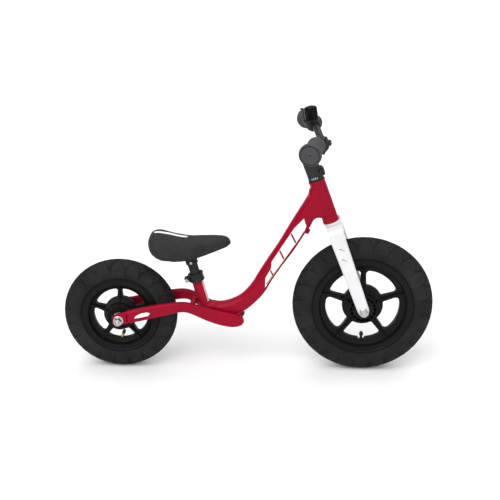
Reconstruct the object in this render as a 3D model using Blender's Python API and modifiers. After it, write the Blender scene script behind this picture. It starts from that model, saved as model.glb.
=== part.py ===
"""A child's balance bike with a 12 inch front wheel and a 10 inch rear wheel, as separate named pieces.

Metres, +X forwards, +Y to the rider's left, +Z up. The origin is on the ground, midway along the bike.
Each moving group hangs from an empty that lies on its joint's axis.
"""

import math

import bmesh
import bpy
from mathutils import Matrix, Vector

# Wheels
FRONT_R = 0.156
FRONT_TYRE_WIDTH = 0.054
REAR_R = 0.1275
REAR_TYRE_WIDTH = 0.050
WHEELBASE = 0.5417
REAR_X = (REAR_R - FRONT_R - WHEELBASE) / 2
TYRE_WALL = 0.0035
TUBE_WALL = 0.0018
SPOKES = 5
WHEEL_STEPS = 28
AXLE_R = 0.005
BEARING_R = 0.013
BEARING_WIDTH = 0.008

# Steering: the head tube leans back, and the front axle lies a little ahead of its axis
HEAD_TOP = Vector((0.148, 0, 0.443))
HEAD_ANGLE = math.radians(20.1)
HEAD_LENGTH = 0.099
HEAD_TUBE_R = 0.0175
STEERER_R = 0.0111
FORK_OFFSET = 0.00335
AXLE_DROP = 0.30685
BLADE_Y = 0.046
BLADE_THICKNESS = 0.012
FRONT_AXLE_HALF = 0.0625

# Handlebar: places are measured from the middle of the bar, where the stem holds it
BAR_FORWARD = 0.0356
BAR_HEIGHT = 0.0711
BAR_R = 0.008
BAR_PATH = [(0, 0, 0), (0, 0.022, 0), (-0.0015, 0.042, 0.0035), (-0.006, 0.062, 0.012), (-0.0105, 0.081, 0.0185)]
GRIP_INNER = Vector((-0.0135, 0.098, 0.0208))
GRIP_AXIS = Vector((-0.0137, 0.060, -0.0026)).normalized()
GRIP_LENGTH = 0.069
FACEPLATE_ANGLE = math.radians(25)

# Seat: the post slides along the seat tube's axis
SEAT_POINT = Vector((-0.112, 0, 0.2095))
SEAT_ANGLE = math.radians(15)
SEAT_TUBE_R = 0.0127
POST_R = 0.0111
POST_BOTTOM = -0.080
POST_TOP = 0.055
COLLAR_BOTTOM = -0.003
COLLAR_TOP = 0.015
BRACKET_BOTTOM = 0.040
PAN_BOTTOM = 0.2845
PAN_THICKNESS = 0.004

# Rear end
REAR_AXLE_HALF = 0.066
STAY_WIDTH = 0.014
STAY_WALL = 0.002
DROPOUT_THICKNESS = 0.006
DROPOUT_FRONT = -0.2680

# Between pieces that touch on the real bike
GAP = 0.0003

# More dimensions that several pieces share
HEAD_BORE_R = 0.0150
CROWN_TOP = -0.102
CROWN_BOTTOM = -0.124
BLADE_TOP_WIDTH = 0.035
# Distance below the head tube's top, and width, in millimetres
BLADE_STATIONS = [(-128.3, 35), (-160, 33.5), (-220, 31), (-280, 28.5), (-303, 27), (-312, 22.5), (-317.5, 14),
                  (-319.5, 7)]
STEERER_TOP = 0.056
STEM_R = 0.0165
STEM_BOTTOM = 0.0027
STEM_TOP = 0.058
PINCH_BOLT = Vector((0.0172, 0, 0.0175))
SEAT_TUBE_BOTTOM = -0.086
COLLAR_R = 0.0175
COLLAR_BOLT = Vector((-0.0215, 0, 0.006))
BRACKET_R = 0.0137
CROSS_BOLT = 0.0460
PAN_TOP = PAN_BOTTOM + PAN_THICKNESS
PAD_SIDE = 0.008
BELL_TILT = math.radians(9.5)
BELL_SHIFT = -0.0053
VALVE_R = 0.0030
FRONT_VALVE_LOW = 0.069
REAR_VALVE_LEAN = math.radians(22)

# Moulded wheels: flange radius, half width, lip, web, hub ring and hub barrel radius, hub half width
FRONT_WHEEL = (0.112, 0.0215, 0.0945, 0.0825, 0.046, 0.0305, 0.036)
REAR_WHEEL = (0.0870, 0.0200, 0.0770, 0.0605, 0.038, 0.0290, 0.031)

# Stays: x, distance from the mid-plane, z, height across the stay, in millimetres from the front end backwards
STAY_Y = 0.040
STAY_CORNER = 0.005
STAY_STATIONS = [
    (-8.5, 22.5, 125, 9), (-12, 22.5, 124, 17), (-19, 22.5, 122.5, 24), (-32, 22.5, 122.5, 28.5),
    (-48, 22.5, 125, 29), (-66, 23.2, 129.5, 28), (-84, 25.5, 136, 26), (-100, 29, 143.5, 24), (-115, 33, 151, 22.5),
    (-130, 36.5, 157, 22), (-145, 39, 159, 23), (-165, 40, 156.5, 25), (-190, 40, 151, 28), (-214, 40, 146, 29.5),
    (-238, 40, 140, 30), (-276, 40, 131.6, 29),
]
DROPOUT_BACK = -0.300
DROPOUT_BOTTOM = 0.1195
DROPOUT_TOP = 0.1475
BRIDGE_PLACE = (-0.122, 0, 0.154)
BRIDGE_HALF = 0.0252

# Main tube: top x and z, bottom x and z, width, in millimetres from the seat tube to the head tube
MAIN_TUBE_WALL = 0.0022
MAIN_TUBE_CORNER = 0.011
MAIN_TUBE_STATIONS = [
    (-100, 156, -92, 119, 29), (-80, 159, -72, 118.5, 29.5), (-62, 156.5, -56, 119.5, 30), (-40, 161, -29, 125.5, 30),
    (-14, 175, 5, 147, 30), (9, 201, 36, 180, 30), (27, 232, 56, 214.3, 30), (47, 265, 77.2, 247.3, 29),
    (69, 300, 100.9, 281.2, 29), (93, 343, 127, 324, 30), (103, 360, 137, 339, 31), (113, 377, 143, 352, 32),
    (123, 394, 149, 360, 33), (131, 409, 155, 362.5, 34), (134.5, 422, 161, 362, 34), (150, 434, 178, 362, 34),
]
BOSS_PLACE = Vector((0.1295, 0, 0.3270))
BOSS_NORMAL = Vector((0.866, 0, -0.50))

# Saddle: x, half width, top and bottom height, in millimetres from the tail to the nose
SADDLE_STATIONS = [
    (-217, 18, 304, 299), (-214, 34, 311.5, 293), (-207, 48, 318.5, 286), (-193, 58.5, 319.8, 278.5),
    (-175, 60.5, 314, 274), (-155, 57, 308.5, 271.5), (-135, 49, 305.5, 270.5), (-115, 39.5, 306, 274),
    (-95, 31, 309, 278), (-75, 26, 311.5, 283.8), (-58, 23, 312.5, 289), (-47, 19.5, 310.5, 292), (-40, 14, 306, 294.5),
    (-36.5, 7, 301.5, 297),
]

RED = (0.39, 0.006, 0.028)
WHITE = (0.85, 0.85, 0.86)
BLACK = (0.018, 0.018, 0.020)
DARK_GREY = (0.045, 0.045, 0.050)
RUBBER_GREY = (0.030, 0.030, 0.033)
SILVER = (0.62, 0.62, 0.64)
BRASS = (0.66, 0.48, 0.20)


def clear_scene():
    for obj in list(bpy.data.objects):
        bpy.data.objects.remove(obj)


def new_collection(name):
    collection = bpy.data.collections.new(name)
    bpy.context.scene.collection.children.link(collection)
    return collection


clear_scene()
BIKE = new_collection("balance_bike")
CUTTERS = new_collection("cutters")
CUTTERS.hide_render = True


# ---------------------------------------------------------------- helpers


def paint(obj, colour, roughness=0.5, metallic=0.0):
    """Gives the piece a material of its own."""
    material = bpy.data.materials.new(obj.name)
    material.use_nodes = True
    shader = material.node_tree.nodes["Principled BSDF"]
    shader.inputs["Base Color"].default_value = (*colour, 1)
    shader.inputs["Roughness"].default_value = roughness
    shader.inputs["Metallic"].default_value = metallic
    material.diffuse_color = (*colour, 1)
    obj.data.materials.clear()
    obj.data.materials.append(material)
    return obj


def add_empty(name, location, parent=None, tilt=0.0):
    empty = bpy.data.objects.new(name, None)
    empty.location = location
    empty.rotation_euler = (0, tilt, 0)
    empty.parent = parent
    BIKE.objects.link(empty)
    return empty


def add_object(name, data, parent=None, location=(0, 0, 0), rotation=(0, 0, 0), collection=BIKE):
    obj = bpy.data.objects.new(name, data)
    obj.parent = parent
    obj.location = location
    obj.rotation_euler = rotation
    collection.objects.link(obj)
    return obj


def mesh_from(bm, name, sharp=math.radians(35)):
    """Turns a bmesh into a mesh that is smooth except at its sharp edges."""
    bmesh.ops.recalc_face_normals(bm, faces=bm.faces)
    mesh = bpy.data.meshes.new(name)
    bm.to_mesh(mesh)
    bm.free()
    mesh.shade_smooth()
    mesh.set_sharp_from_angle(angle=sharp)
    return mesh


def turned(name, loops, steps, parent=None, location=(0, 0, 0), rotation=(0, 0, 0), closed=True, collection=BIKE):
    """Turns profiles of (radius, height) points about local Z. An outer side is listed from top to bottom."""
    points = []
    edges = []
    for loop in loops:
        first = len(points)
        points += [(radius, 0, height) for radius, height in loop]
        edges += [(i, i + 1) for i in range(first, len(points) - 1)]
        if closed:
            edges.append((len(points) - 1, first))
    mesh = bpy.data.meshes.new(name)
    mesh.from_pydata(points, edges, [])
    obj = add_object(name, mesh, parent, location, rotation, collection)
    screw = obj.modifiers.new("Turn", "SCREW")
    screw.steps = steps
    screw.render_steps = steps
    screw.use_merge_vertices = True
    screw.merge_threshold = 0.00001
    screw.use_smooth_shade = True
    return obj


def ring(inner, outer, low, high):
    """The profile of a plain ring."""
    return [(outer, high), (outer, low), (inner, low), (inner, high)]


def fillet(corners, steps=2):
    """Rounds the corners of a flat outline. Each corner is (x, y, radius)."""
    outline = []
    for index, (x, y, radius) in enumerate(corners):
        here = Vector((x, y))
        if radius == 0:
            outline.append(here)
            continue
        before = (Vector(corners[index - 1][:2]) - here).normalized()
        after = (Vector(corners[(index + 1) % len(corners)][:2]) - here).normalized()
        half = before.angle(after) / 2
        middle = here + (before + after).normalized() * radius / math.sin(half)
        start = here + before * radius / math.tan(half) - middle
        end = here + after * radius / math.tan(half) - middle
        sweep = start.angle(end)
        for step in range(steps + 1):
            share = sweep * step / steps
            outline.append(middle + (start * math.sin(sweep - share) + end * math.sin(share)) / math.sin(sweep))
    return outline


def welded_mesh(guide, name):
    """Makes a mesh with welded caps from a curve object, and removes the curve."""
    graph = bpy.context.evaluated_depsgraph_get()
    mesh = bpy.data.meshes.new_from_object(guide.evaluated_get(graph))
    bpy.data.objects.remove(guide)
    mesh.name = name
    bm = bmesh.new()
    bm.from_mesh(mesh)
    bmesh.ops.remove_doubles(bm, verts=bm.verts, dist=0.00001)
    bmesh.ops.recalc_face_normals(bm, faces=bm.faces)
    bm.to_mesh(mesh)
    bm.free()
    mesh.shade_smooth()
    mesh.set_sharp_from_angle(angle=math.radians(35))
    return mesh


def plate(name, outlines, thickness, parent=None, location=(0, 0, 0), rotation=(0, 0, 0), collection=BIKE):
    """Flat outlines in local XY with a thickness centred on local Z."""
    curve = bpy.data.curves.new(name, "CURVE")
    curve.dimensions = "2D"
    curve.fill_mode = "BOTH"
    curve.extrude = thickness / 2
    for outline in outlines:
        spline = curve.splines.new("POLY")
        spline.points.add(len(outline) - 1)
        for point, place in zip(spline.points, outline):
            point.co = (place[0], place[1], 0, 1)
        spline.use_cyclic_u = True
    guide = add_object(name + "_guide", curve)
    return add_object(name, welded_mesh(guide, name), parent, location, rotation, collection)


def pipe(name, points, radius, parent=None, location=(0, 0, 0), resolution=3, collection=BIKE):
    """A round bar along a line of points."""
    curve = bpy.data.curves.new(name, "CURVE")
    curve.dimensions = "3D"
    curve.bevel_depth = radius
    curve.bevel_resolution = resolution
    curve.use_fill_caps = True
    spline = curve.splines.new("POLY")
    spline.points.add(len(points) - 1)
    for point, place in zip(spline.points, points):
        point.co = (*place, 1)
    guide = add_object(name + "_guide", curve)
    return add_object(name, welded_mesh(guide, name), parent, location, collection=collection)


def solids(name, parts, parent=None, location=(0, 0, 0), rotation=(0, 0, 0), collection=BIKE):
    """Closed cylinders and boxes in one piece. Each part is a function that adds itself to a bmesh."""
    bm = bmesh.new()
    for part in parts:
        part(bm)
    return add_object(name, mesh_from(bm, name), parent, location, rotation, collection)


def rod(radius, low, high, matrix=Matrix(), segments=20):
    """A closed cylinder along Z of the matrix."""
    place = matrix @ Matrix.Translation((0, 0, (low + high) / 2))
    return lambda bm: bmesh.ops.create_cone(
        bm, cap_ends=True, segments=segments, radius1=radius, radius2=radius, depth=high - low, matrix=place
    )


def block(low, high, matrix=Matrix()):
    """A box between two corners."""
    low, high = Vector(low), Vector(high)
    place = matrix @ Matrix.Translation((low + high) / 2) @ Matrix.Diagonal((*(high - low), 1))
    return lambda bm: bmesh.ops.create_cube(bm, size=1, matrix=place)


def boolean(obj, other, operation="DIFFERENCE"):
    modifier = obj.modifiers.new(operation.title(), "BOOLEAN")
    modifier.operation = operation
    modifier.object = other
    other.hide_render = True
    other.display_type = "WIRE"
    return obj


def round_edges(obj, width, segments=2):
    bevel = obj.modifiers.new("Round", "BEVEL")
    bevel.width = width
    bevel.segments = segments
    bevel.limit_method = "ANGLE"
    bevel.angle_limit = math.radians(40)
    return obj


def loft(name, outer, inner=None, open_start=False, parent=None):
    """Skins rings of points. With inner rings it is a tube, open at its end and, if asked, at its start."""
    bm = bmesh.new()
    skins = [[[bm.verts.new(point) for point in points] for points in skin] for skin in (outer, inner) if skin]

    def band(first, second):
        for i in range(len(first)):
            j = (i + 1) % len(first)
            bm.faces.new((first[i], first[j], second[j], second[i]))

    for skin in skins:
        for first, second in zip(skin, skin[1:]):
            band(first, second)
    if inner:
        band(skins[0][-1], skins[1][-1])
    else:
        bm.faces.new(skins[0][-1])
    if inner and open_start:
        band(skins[0][0], skins[1][0])
    else:
        for skin in skins:
            bm.faces.new(skin[0])
    return add_object(name, mesh_from(bm, name), parent)


def rounded_section(width, height, radius, steps=2):
    """A rectangle with round corners, as (across, up) points."""
    w, h = width / 2, height / 2
    radius = min(radius, 0.98 * w, 0.98 * h)
    return fillet([(w, h, radius), (-w, h, radius), (-w, -h, radius), (w, -h, radius)], steps)


def smooth_through(stations, per_span):
    """Rows of numbers on a Catmull-Rom curve through the stations."""
    rows = []
    for i in range(len(stations) - 1):
        around = [stations[max(i - 1, 0)], stations[i], stations[i + 1], stations[min(i + 2, len(stations) - 1)]]
        for step in range(per_span):
            t = step / per_span
            rows.append([
                0.5 * (2 * b + (c - a) * t + (2 * a - 5 * b + 4 * c - d) * t**2 + (3 * b - a - 3 * c + d) * t**3)
                for a, b, c, d in zip(*around)
            ])
    rows.append(list(stations[-1]))
    return rows


def mm(*values):
    return tuple(value / 1000 for value in values)


ALONG_Y = Matrix.Rotation(-math.pi / 2, 4, "X")
WHEEL_TURN = (math.pi / 2, 0, 0)


# ---------------------------------------------------------------- joint axes

steering = add_empty("steering_axis", HEAD_TOP, tilt=-HEAD_ANGLE)
bar_place = add_empty("handlebar_axis", (BAR_FORWARD, 0, BAR_HEIGHT), steering, HEAD_ANGLE)
fork_end = add_empty("front_axle_place", (FORK_OFFSET, 0, -AXLE_DROP), steering, HEAD_ANGLE)
front_spin = add_empty("front_wheel_axis", (0, 0, 0), fork_end)
rear_end = add_empty("rear_axle_place", (REAR_X, 0, REAR_R))
rear_spin = add_empty("rear_wheel_axis", (0, 0, 0), rear_end)
seat_slide = add_empty("seatpost_axis", SEAT_POINT, tilt=-SEAT_ANGLE)
bell_place = add_empty("bell_axis", BAR_PATH[-1], bar_place, -BELL_TILT)


# ---------------------------------------------------------------- frame


def along(rows, width_of):
    """Rings of a tube whose rows are (top x, top z, bottom x, bottom z, width), each across its own line."""
    rings = []
    for top_x, top_z, bottom_x, bottom_z, width in rows:
        top, bottom = Vector((top_x, 0, top_z)), Vector((bottom_x, 0, bottom_z))
        middle, up = (top + bottom) / 2, (top - bottom).normalized()
        section = width_of(width, (top - bottom).length)
        rings.append([middle + Vector((0, across, 0)) + up * height for across, height in section])
    return rings


def make_main_tube():
    """The curved main tube, mitred to the head tube and to the seat tube."""
    rows = [mm(*row) for row in MAIN_TUBE_STATIONS]
    tube = loft(
        "main_tube",
        along(rows, lambda width, height: rounded_section(width, height, MAIN_TUBE_CORNER)),
        along(rows, lambda width, height: rounded_section(
            width - 2 * MAIN_TUBE_WALL, height - 2 * MAIN_TUBE_WALL, MAIN_TUBE_CORNER - MAIN_TUBE_WALL)),
        open_start=True,
    )
    boolean(tube, solids("head_mitre", [rod(HEAD_TUBE_R + GAP, -0.13, 0.03, segments=32)], steering,
                         collection=CUTTERS))
    boolean(tube, solids("head_side", [block((0.0, -0.06, -0.13), (0.09, 0.06, 0.03))], steering,
                         collection=CUTTERS))
    boolean(tube, solids("seat_mitre", [rod(SEAT_TUBE_R + GAP, -0.13, 0.04, segments=32)], seat_slide,
                         collection=CUTTERS))
    boolean(tube, solids("seat_side", [block((-0.06, -0.06, -0.13), (0.0, 0.06, 0.04))], seat_slide,
                         collection=CUTTERS))
    return paint(tube, RED, 0.22)


def make_head_tube():
    low = -HEAD_LENGTH
    lip = HEAD_TUBE_R + 0.0008
    profile = [(HEAD_TUBE_R - 0.0006, 0), (lip, -0.0008), (lip, -0.004), (HEAD_TUBE_R, -0.0052),
               (HEAD_TUBE_R, low + 0.0052), (lip, low + 0.004), (lip, low + 0.0008), (HEAD_TUBE_R - 0.0006, low),
               (HEAD_BORE_R, low), (HEAD_BORE_R, 0)]
    return paint(turned("head_tube", [profile], 28, steering), RED, 0.22)


def make_seat_tube():
    tube = turned("seat_tube", [ring(POST_R + GAP, SEAT_TUBE_R, SEAT_TUBE_BOTTOM, COLLAR_TOP - 0.002)], 28, seat_slide)
    return paint(tube, RED, 0.22)


def make_stay(side, name):
    """A hollow box-section stay, open at the dropout and closed at its round front end."""
    rows = [mm(*row) for row in STAY_STATIONS]
    outer, inner = [], []
    for index, (x, across, z, height) in enumerate(rows):
        before, after = rows[max(index - 1, 0)], rows[min(index + 1, len(rows) - 1)]
        run = Vector((after[0] - before[0], 0, after[2] - before[2])).normalized()
        up = Vector((-run.z, 0, run.x))
        if up.z < 0:
            up.negate()
        middle = Vector((x, side * across, z))
        for skin, wall in ((outer, 0), (inner, STAY_WALL)):
            section = rounded_section(STAY_WIDTH - 2 * wall, height - 2 * wall, STAY_CORNER - wall)
            skin.append([middle + Vector((0, y, 0)) + up * v for y, v in section])
    stay = loft(name, outer, inner[2:])
    boolean(stay, solids(name + "_end", [block((-0.300, -0.06, 0.09), (DROPOUT_FRONT + GAP, 0.06, 0.17))],
                         collection=CUTTERS))
    return paint(stay, RED, 0.22)


def make_dropout(side, name):
    """The plate that plugs the open end of a stay and takes the axle in a slot that opens to the rear."""
    low, high = DROPOUT_BOTTOM, DROPOUT_TOP
    front, back = DROPOUT_FRONT, DROPOUT_BACK
    corners = [
        (front, low, 0), (front, high, 0), (front - 0.020, high - 0.006, 0.008), (back, high - 0.012, 0.006),
        (back, low - 0.001, 0.006), (front - 0.020, low - 0.0035, 0.006),
    ]
    outer_face = side * (STAY_Y + STAY_WIDTH / 2)
    middle = outer_face - side * DROPOUT_THICKNESS / 2
    dropout = plate(name, [fillet(corners)], DROPOUT_THICKNESS, location=(0, middle, 0), rotation=WHEEL_TURN)
    inner_face = side * (STAY_Y - STAY_WIDTH / 2 + 0.0004)
    faces = sorted((inner_face, outer_face - side * 0.0004))
    plug = solids(name + "_plug", [block((front - 0.004, faces[0], low + 0.0008), (front - 0.0002, faces[1],
                                                                                    high - 0.0008))],
                  collection=CUTTERS)
    slot = solids(name + "_slot", [rod(AXLE_R + GAP, -0.08, 0.08, ALONG_Y)], rear_end, collection=CUTTERS)
    mouth = solids(name + "_mouth", [block((-0.04, -0.08, -AXLE_R - GAP), (0, 0.08, AXLE_R + GAP))], rear_end,
                   collection=CUTTERS)
    boolean(dropout, plug, "UNION")
    boolean(dropout, slot)
    boolean(dropout, mouth)
    return paint(dropout, RED, 0.25)


def make_frame_details():
    bridge = solids("stay_bridge", [rod(0.0065, -BRIDGE_HALF, BRIDGE_HALF, ALONG_Y)], location=BRIDGE_PLACE)
    paint(bridge, RED, 0.25)
    boss_turn = (0, math.atan2(BOSS_NORMAL[0], BOSS_NORMAL[2]), 0)
    boss = solids("accessory_boss", [rod(0.006, 0.0006, 0.006)], location=BOSS_PLACE, rotation=boss_turn)
    paint(boss, RED, 0.25)
    outer = HEAD_BORE_R - GAP
    inner = STEERER_R + GAP
    for name, low in (("headset_bearing_upper", -0.0085), ("headset_bearing_lower", -HEAD_LENGTH + 0.0015)):
        paint(turned(name, [ring(inner, outer, low, low + 0.007)], 28, steering), SILVER, 0.3, 1.0)


def make_seat_collar():
    """The slit collar that pinches the seat tube, with two ears behind it."""
    collar = turned("seat_collar", [ring(SEAT_TUBE_R + GAP, COLLAR_R, COLLAR_BOTTOM, COLLAR_TOP)], 32, seat_slide)
    ears = solids("collar_ears", [block((-0.0265, -0.0075, 0.0005), (-0.0148, 0.0075, 0.0115))], seat_slide,
                  collection=CUTTERS)
    slit = solids("collar_slit", [block((-0.030, -0.0012, -0.01), (-0.010, 0.0012, 0.02))], seat_slide,
                  collection=CUTTERS)
    hole = solids("collar_hole", [rod(0.0028, -0.02, 0.02, Matrix.Translation(COLLAR_BOLT) @ ALONG_Y, 16)],
                  seat_slide, collection=CUTTERS)
    boolean(collar, ears, "UNION")
    boolean(collar, slit)
    boolean(collar, hole)
    paint(collar, BLACK, 0.35)
    at = Matrix.Translation(COLLAR_BOLT) @ ALONG_Y
    bolt = solids("seat_collar_bolt", [rod(0.0025, -0.0080, 0.0095, at, 16)], seat_slide)
    head = solids("collar_bolt_head", [rod(0.0045, -0.0125, -0.0078, at, 16)], seat_slide, collection=CUTTERS)
    nut = solids("collar_bolt_nut", [rod(0.0046, 0.0078, 0.0115, at, 6)], seat_slide, collection=CUTTERS)
    boolean(bolt, head, "UNION")
    boolean(bolt, nut, "UNION")
    paint(bolt, SILVER, 0.25, 1.0)


# ---------------------------------------------------------------- axles and wheels


def make_axle(name, half, bearing_end, fork_face, parent):
    """An axle with the cones that hold the bearings off the fork ends or dropouts."""
    side = [(0, half), (AXLE_R, half), (AXLE_R, fork_face - GAP), (0.0085, fork_face - GAP),
            (0.0085, bearing_end + GAP), (AXLE_R, bearing_end + GAP)]
    profile = side + [(radius, -height) for radius, height in reversed(side)]
    axle = turned(name, [profile], 20, parent, rotation=WHEEL_TURN, closed=False)
    return paint(axle, SILVER, 0.3, 1.0)


def make_axle_nuts(end, face, tip, flange, parent):
    """The two flanged hexagon nuts that hold an axle."""
    for side, side_name in ((-1, "right"), (1, "left")):
        name = end + "_axle_nut_" + side_name
        nut = solids(name, [rod(flange, *sorted((side * (face + GAP), side * (face + 0.0028))), ALONG_Y)], parent)
        hexagon = solids(name + "_hexagon", [rod(0.0087, *sorted((side * (face + 0.0020), side * tip)), ALONG_Y, 6)],
                         parent, collection=CUTTERS)
        bore = solids(name + "_bore", [rod(AXLE_R + GAP, -0.09, 0.09, ALONG_Y)], parent, collection=CUTTERS)
        boolean(nut, hexagon, "UNION")
        boolean(nut, bore)
        paint(nut, SILVER, 0.25, 1.0)


def make_bearings(end, outer_end, parent):
    for side, side_name in ((-1, "right"), (1, "left")):
        low, high = sorted((-side * outer_end, -side * (outer_end - BEARING_WIDTH)))
        bearing = turned(end + "_bearing_" + side_name, [ring(AXLE_R + GAP, BEARING_R, low, high)], 24, parent,
                         rotation=WHEEL_TURN)
        paint(bearing, SILVER, 0.3, 1.0)


def window_outlines(inner, outer, spoke_width):
    """The rounded gaps between the spokes. One spoke points straight up."""
    outlines = []
    half = spoke_width / 2
    pitch = 2 * math.pi / SPOKES
    for index in range(SPOKES):
        start = math.pi / 2 + index * pitch

        def corner(radius, side, rounding):
            angle = start + (math.asin(half / radius) if side == 0 else pitch - math.asin(half / radius))
            return radius * math.cos(angle), radius * math.sin(angle), rounding

        def middle(radius, share):
            low = start + math.asin(half / radius)
            angle = low + share * (pitch - 2 * math.asin(half / radius))
            return radius * math.cos(angle), radius * math.sin(angle), 0

        outlines.append(fillet(
            [corner(inner, 0, 0.003), corner(outer, 0, 0.009)]
            + [middle(outer, share) for share in (0.3, 0.5, 0.7)]
            + [corner(outer, 1, 0.009), corner(inner, 1, 0.003), middle(inner, 0.5)]
        ))
    return outlines


def wheel_profile(flange, half, lip, web, hub_ring, hub, hub_half):
    """A moulded wheel: tyre channel, sloping inner wall, flat web, hub ring and hub barrel with bearing seats."""
    channel_and_face = [
        (0.0095, hub_half - 0.0015 - BEARING_WIDTH - 2 * GAP),
        (BEARING_R + GAP, hub_half - 0.0015 - BEARING_WIDTH - 2 * GAP),
        (BEARING_R + GAP, hub_half - 0.0010),
        (0.0165, hub_half - 0.0010),
        (0.0165, hub_half - 0.0050),
        (hub - 0.0040, hub_half - 0.0050),
        (hub - 0.0040, hub_half),
        (hub, hub_half),
        (hub + 0.0006, 0.0150),
        (hub_ring, 0.0135),
        (hub_ring, 0.0060),
        (web + 0.0010, 0.0070),
        (lip, half),
        (flange, half),
        (flange, half - 0.0025),
        (flange - 0.0105, half - 0.0028),
        (flange - 0.0135, half - 0.0080),
    ]
    return channel_and_face + [(radius, -height) for radius, height in reversed(channel_and_face)]


def make_rim(name, sizes, valve_low, spoke_width, parent):
    flange, half, lip, web, hub_ring, hub, hub_half = sizes
    rim = turned(name, [wheel_profile(*sizes)], WHEEL_STEPS, parent, rotation=WHEEL_TURN)
    windows = plate(name + "_windows", window_outlines(hub_ring + 0.0012, web, spoke_width), 0.046, parent,
                    rotation=WHEEL_TURN, collection=CUTTERS)
    hole = solids(name + "_valve_hole", [rod(VALVE_R + 0.0006, -flange, -valve_low, segments=14)], parent,
                  collection=CUTTERS)
    boolean(rim, windows)
    boolean(rim, hole)
    return paint(rim, BLACK, 0.45)


def arc_points(middle, radius_out, radius_across, start, end, count):
    """Points on an ellipse around (middle, 0), from one angle to another, in degrees from the outermost point."""
    points = []
    for index in range(count):
        angle = math.radians(start + (end - start) * index / (count - 1))
        points.append((middle + radius_out * math.cos(angle), radius_across * math.sin(angle)))
    return points


def make_tyre(name, radius, width, flange, half, parent):
    """An open-bellied tyre whose beads sit inside the rim's flanges."""
    middle = radius - width / 2
    bead = half - 0.0028 - 2 * GAP
    low = flange - 0.0105 + 2 * GAP
    inner = width / 2 - TYRE_WALL
    profile = [(low, bead - 0.0035), (low, bead), (flange, bead)]
    profile += arc_points(middle, width / 2, width / 2, 122, -122, 11)
    profile += [(flange, -bead), (low, -bead), (low, -bead + 0.0035)]
    profile += arc_points(middle, inner, inner, -122, 122, 5)
    return paint(turned(name, [profile], WHEEL_STEPS, parent, rotation=WHEEL_TURN), RUBBER_GREY, 0.8)


def make_inner_tube(name, radius, width, parent):
    """A hollow ring of rubber, with the hole that its valve fills."""
    middle = radius - width / 2
    outside = width / 2 - TYRE_WALL - 0.0045
    inside = outside - TUBE_WALL
    loops = [arc_points(middle, outside, outside, 157.5, -157.5, 8), arc_points(middle, inside, inside, -157.5, 157.5, 8)]
    tube = turned(name, loops, 18, parent, rotation=WHEEL_TURN)
    hole = solids(name + "_hole", [rod(VALVE_R + 0.0006, -middle, -middle + width / 2, segments=14)], parent,
                  collection=CUTTERS)
    boolean(tube, hole)
    return paint(tube, BLACK, 0.7)


def make_wheel(end, radius, width, sizes, valve_low, spoke_width, axle_place, spin, axle_half, fork_face):
    flange, half, _, _, _, _, hub_half = sizes
    bearing_end = hub_half - 0.0015
    make_axle(end + "_axle", axle_half, bearing_end, fork_face, axle_place)
    make_rim(end + "_wheel", sizes, valve_low, spoke_width, spin)
    make_bearings(end, bearing_end, spin)
    make_tyre(end + "_tyre", radius, width, flange, half, spin)
    make_inner_tube(end + "_inner_tube", radius, width, spin)


def make_valves():
    """A straight black valve in front, and an angled brass one behind."""
    high = FRONT_R - FRONT_TYRE_WIDTH / 2 - 0.0105
    stem = solids("front_valve", [rod(VALVE_R, -high, -FRONT_VALVE_LOW - 0.0083, segments=14)], front_spin)
    paint(stem, BLACK, 0.45)
    cap = solids("front_valve_cap", [rod(0.0038, -FRONT_VALVE_LOW - 0.0080, -FRONT_VALVE_LOW, segments=14)], front_spin)
    paint(cap, BLACK, 0.4)
    lean = Vector((math.sin(REAR_VALVE_LEAN), 0, math.cos(REAR_VALVE_LEAN)))
    elbow = Vector((0, 0, -0.0590))
    foot = Vector((0, 0, -(REAR_R - REAR_TYRE_WIDTH / 2 - 0.0095)))
    paint(pipe("rear_valve", [foot, elbow, elbow + lean * 0.0080], VALVE_R, rear_spin), BRASS, 0.3, 1.0)
    turn = (0, REAR_VALVE_LEAN, 0)
    cap = solids("rear_valve_cap", [rod(0.0038, 0, 0.009, segments=14)], rear_spin, elbow + lean * 0.0083, turn)
    paint(cap, BLACK, 0.4)


# ---------------------------------------------------------------- fork and stem


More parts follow.
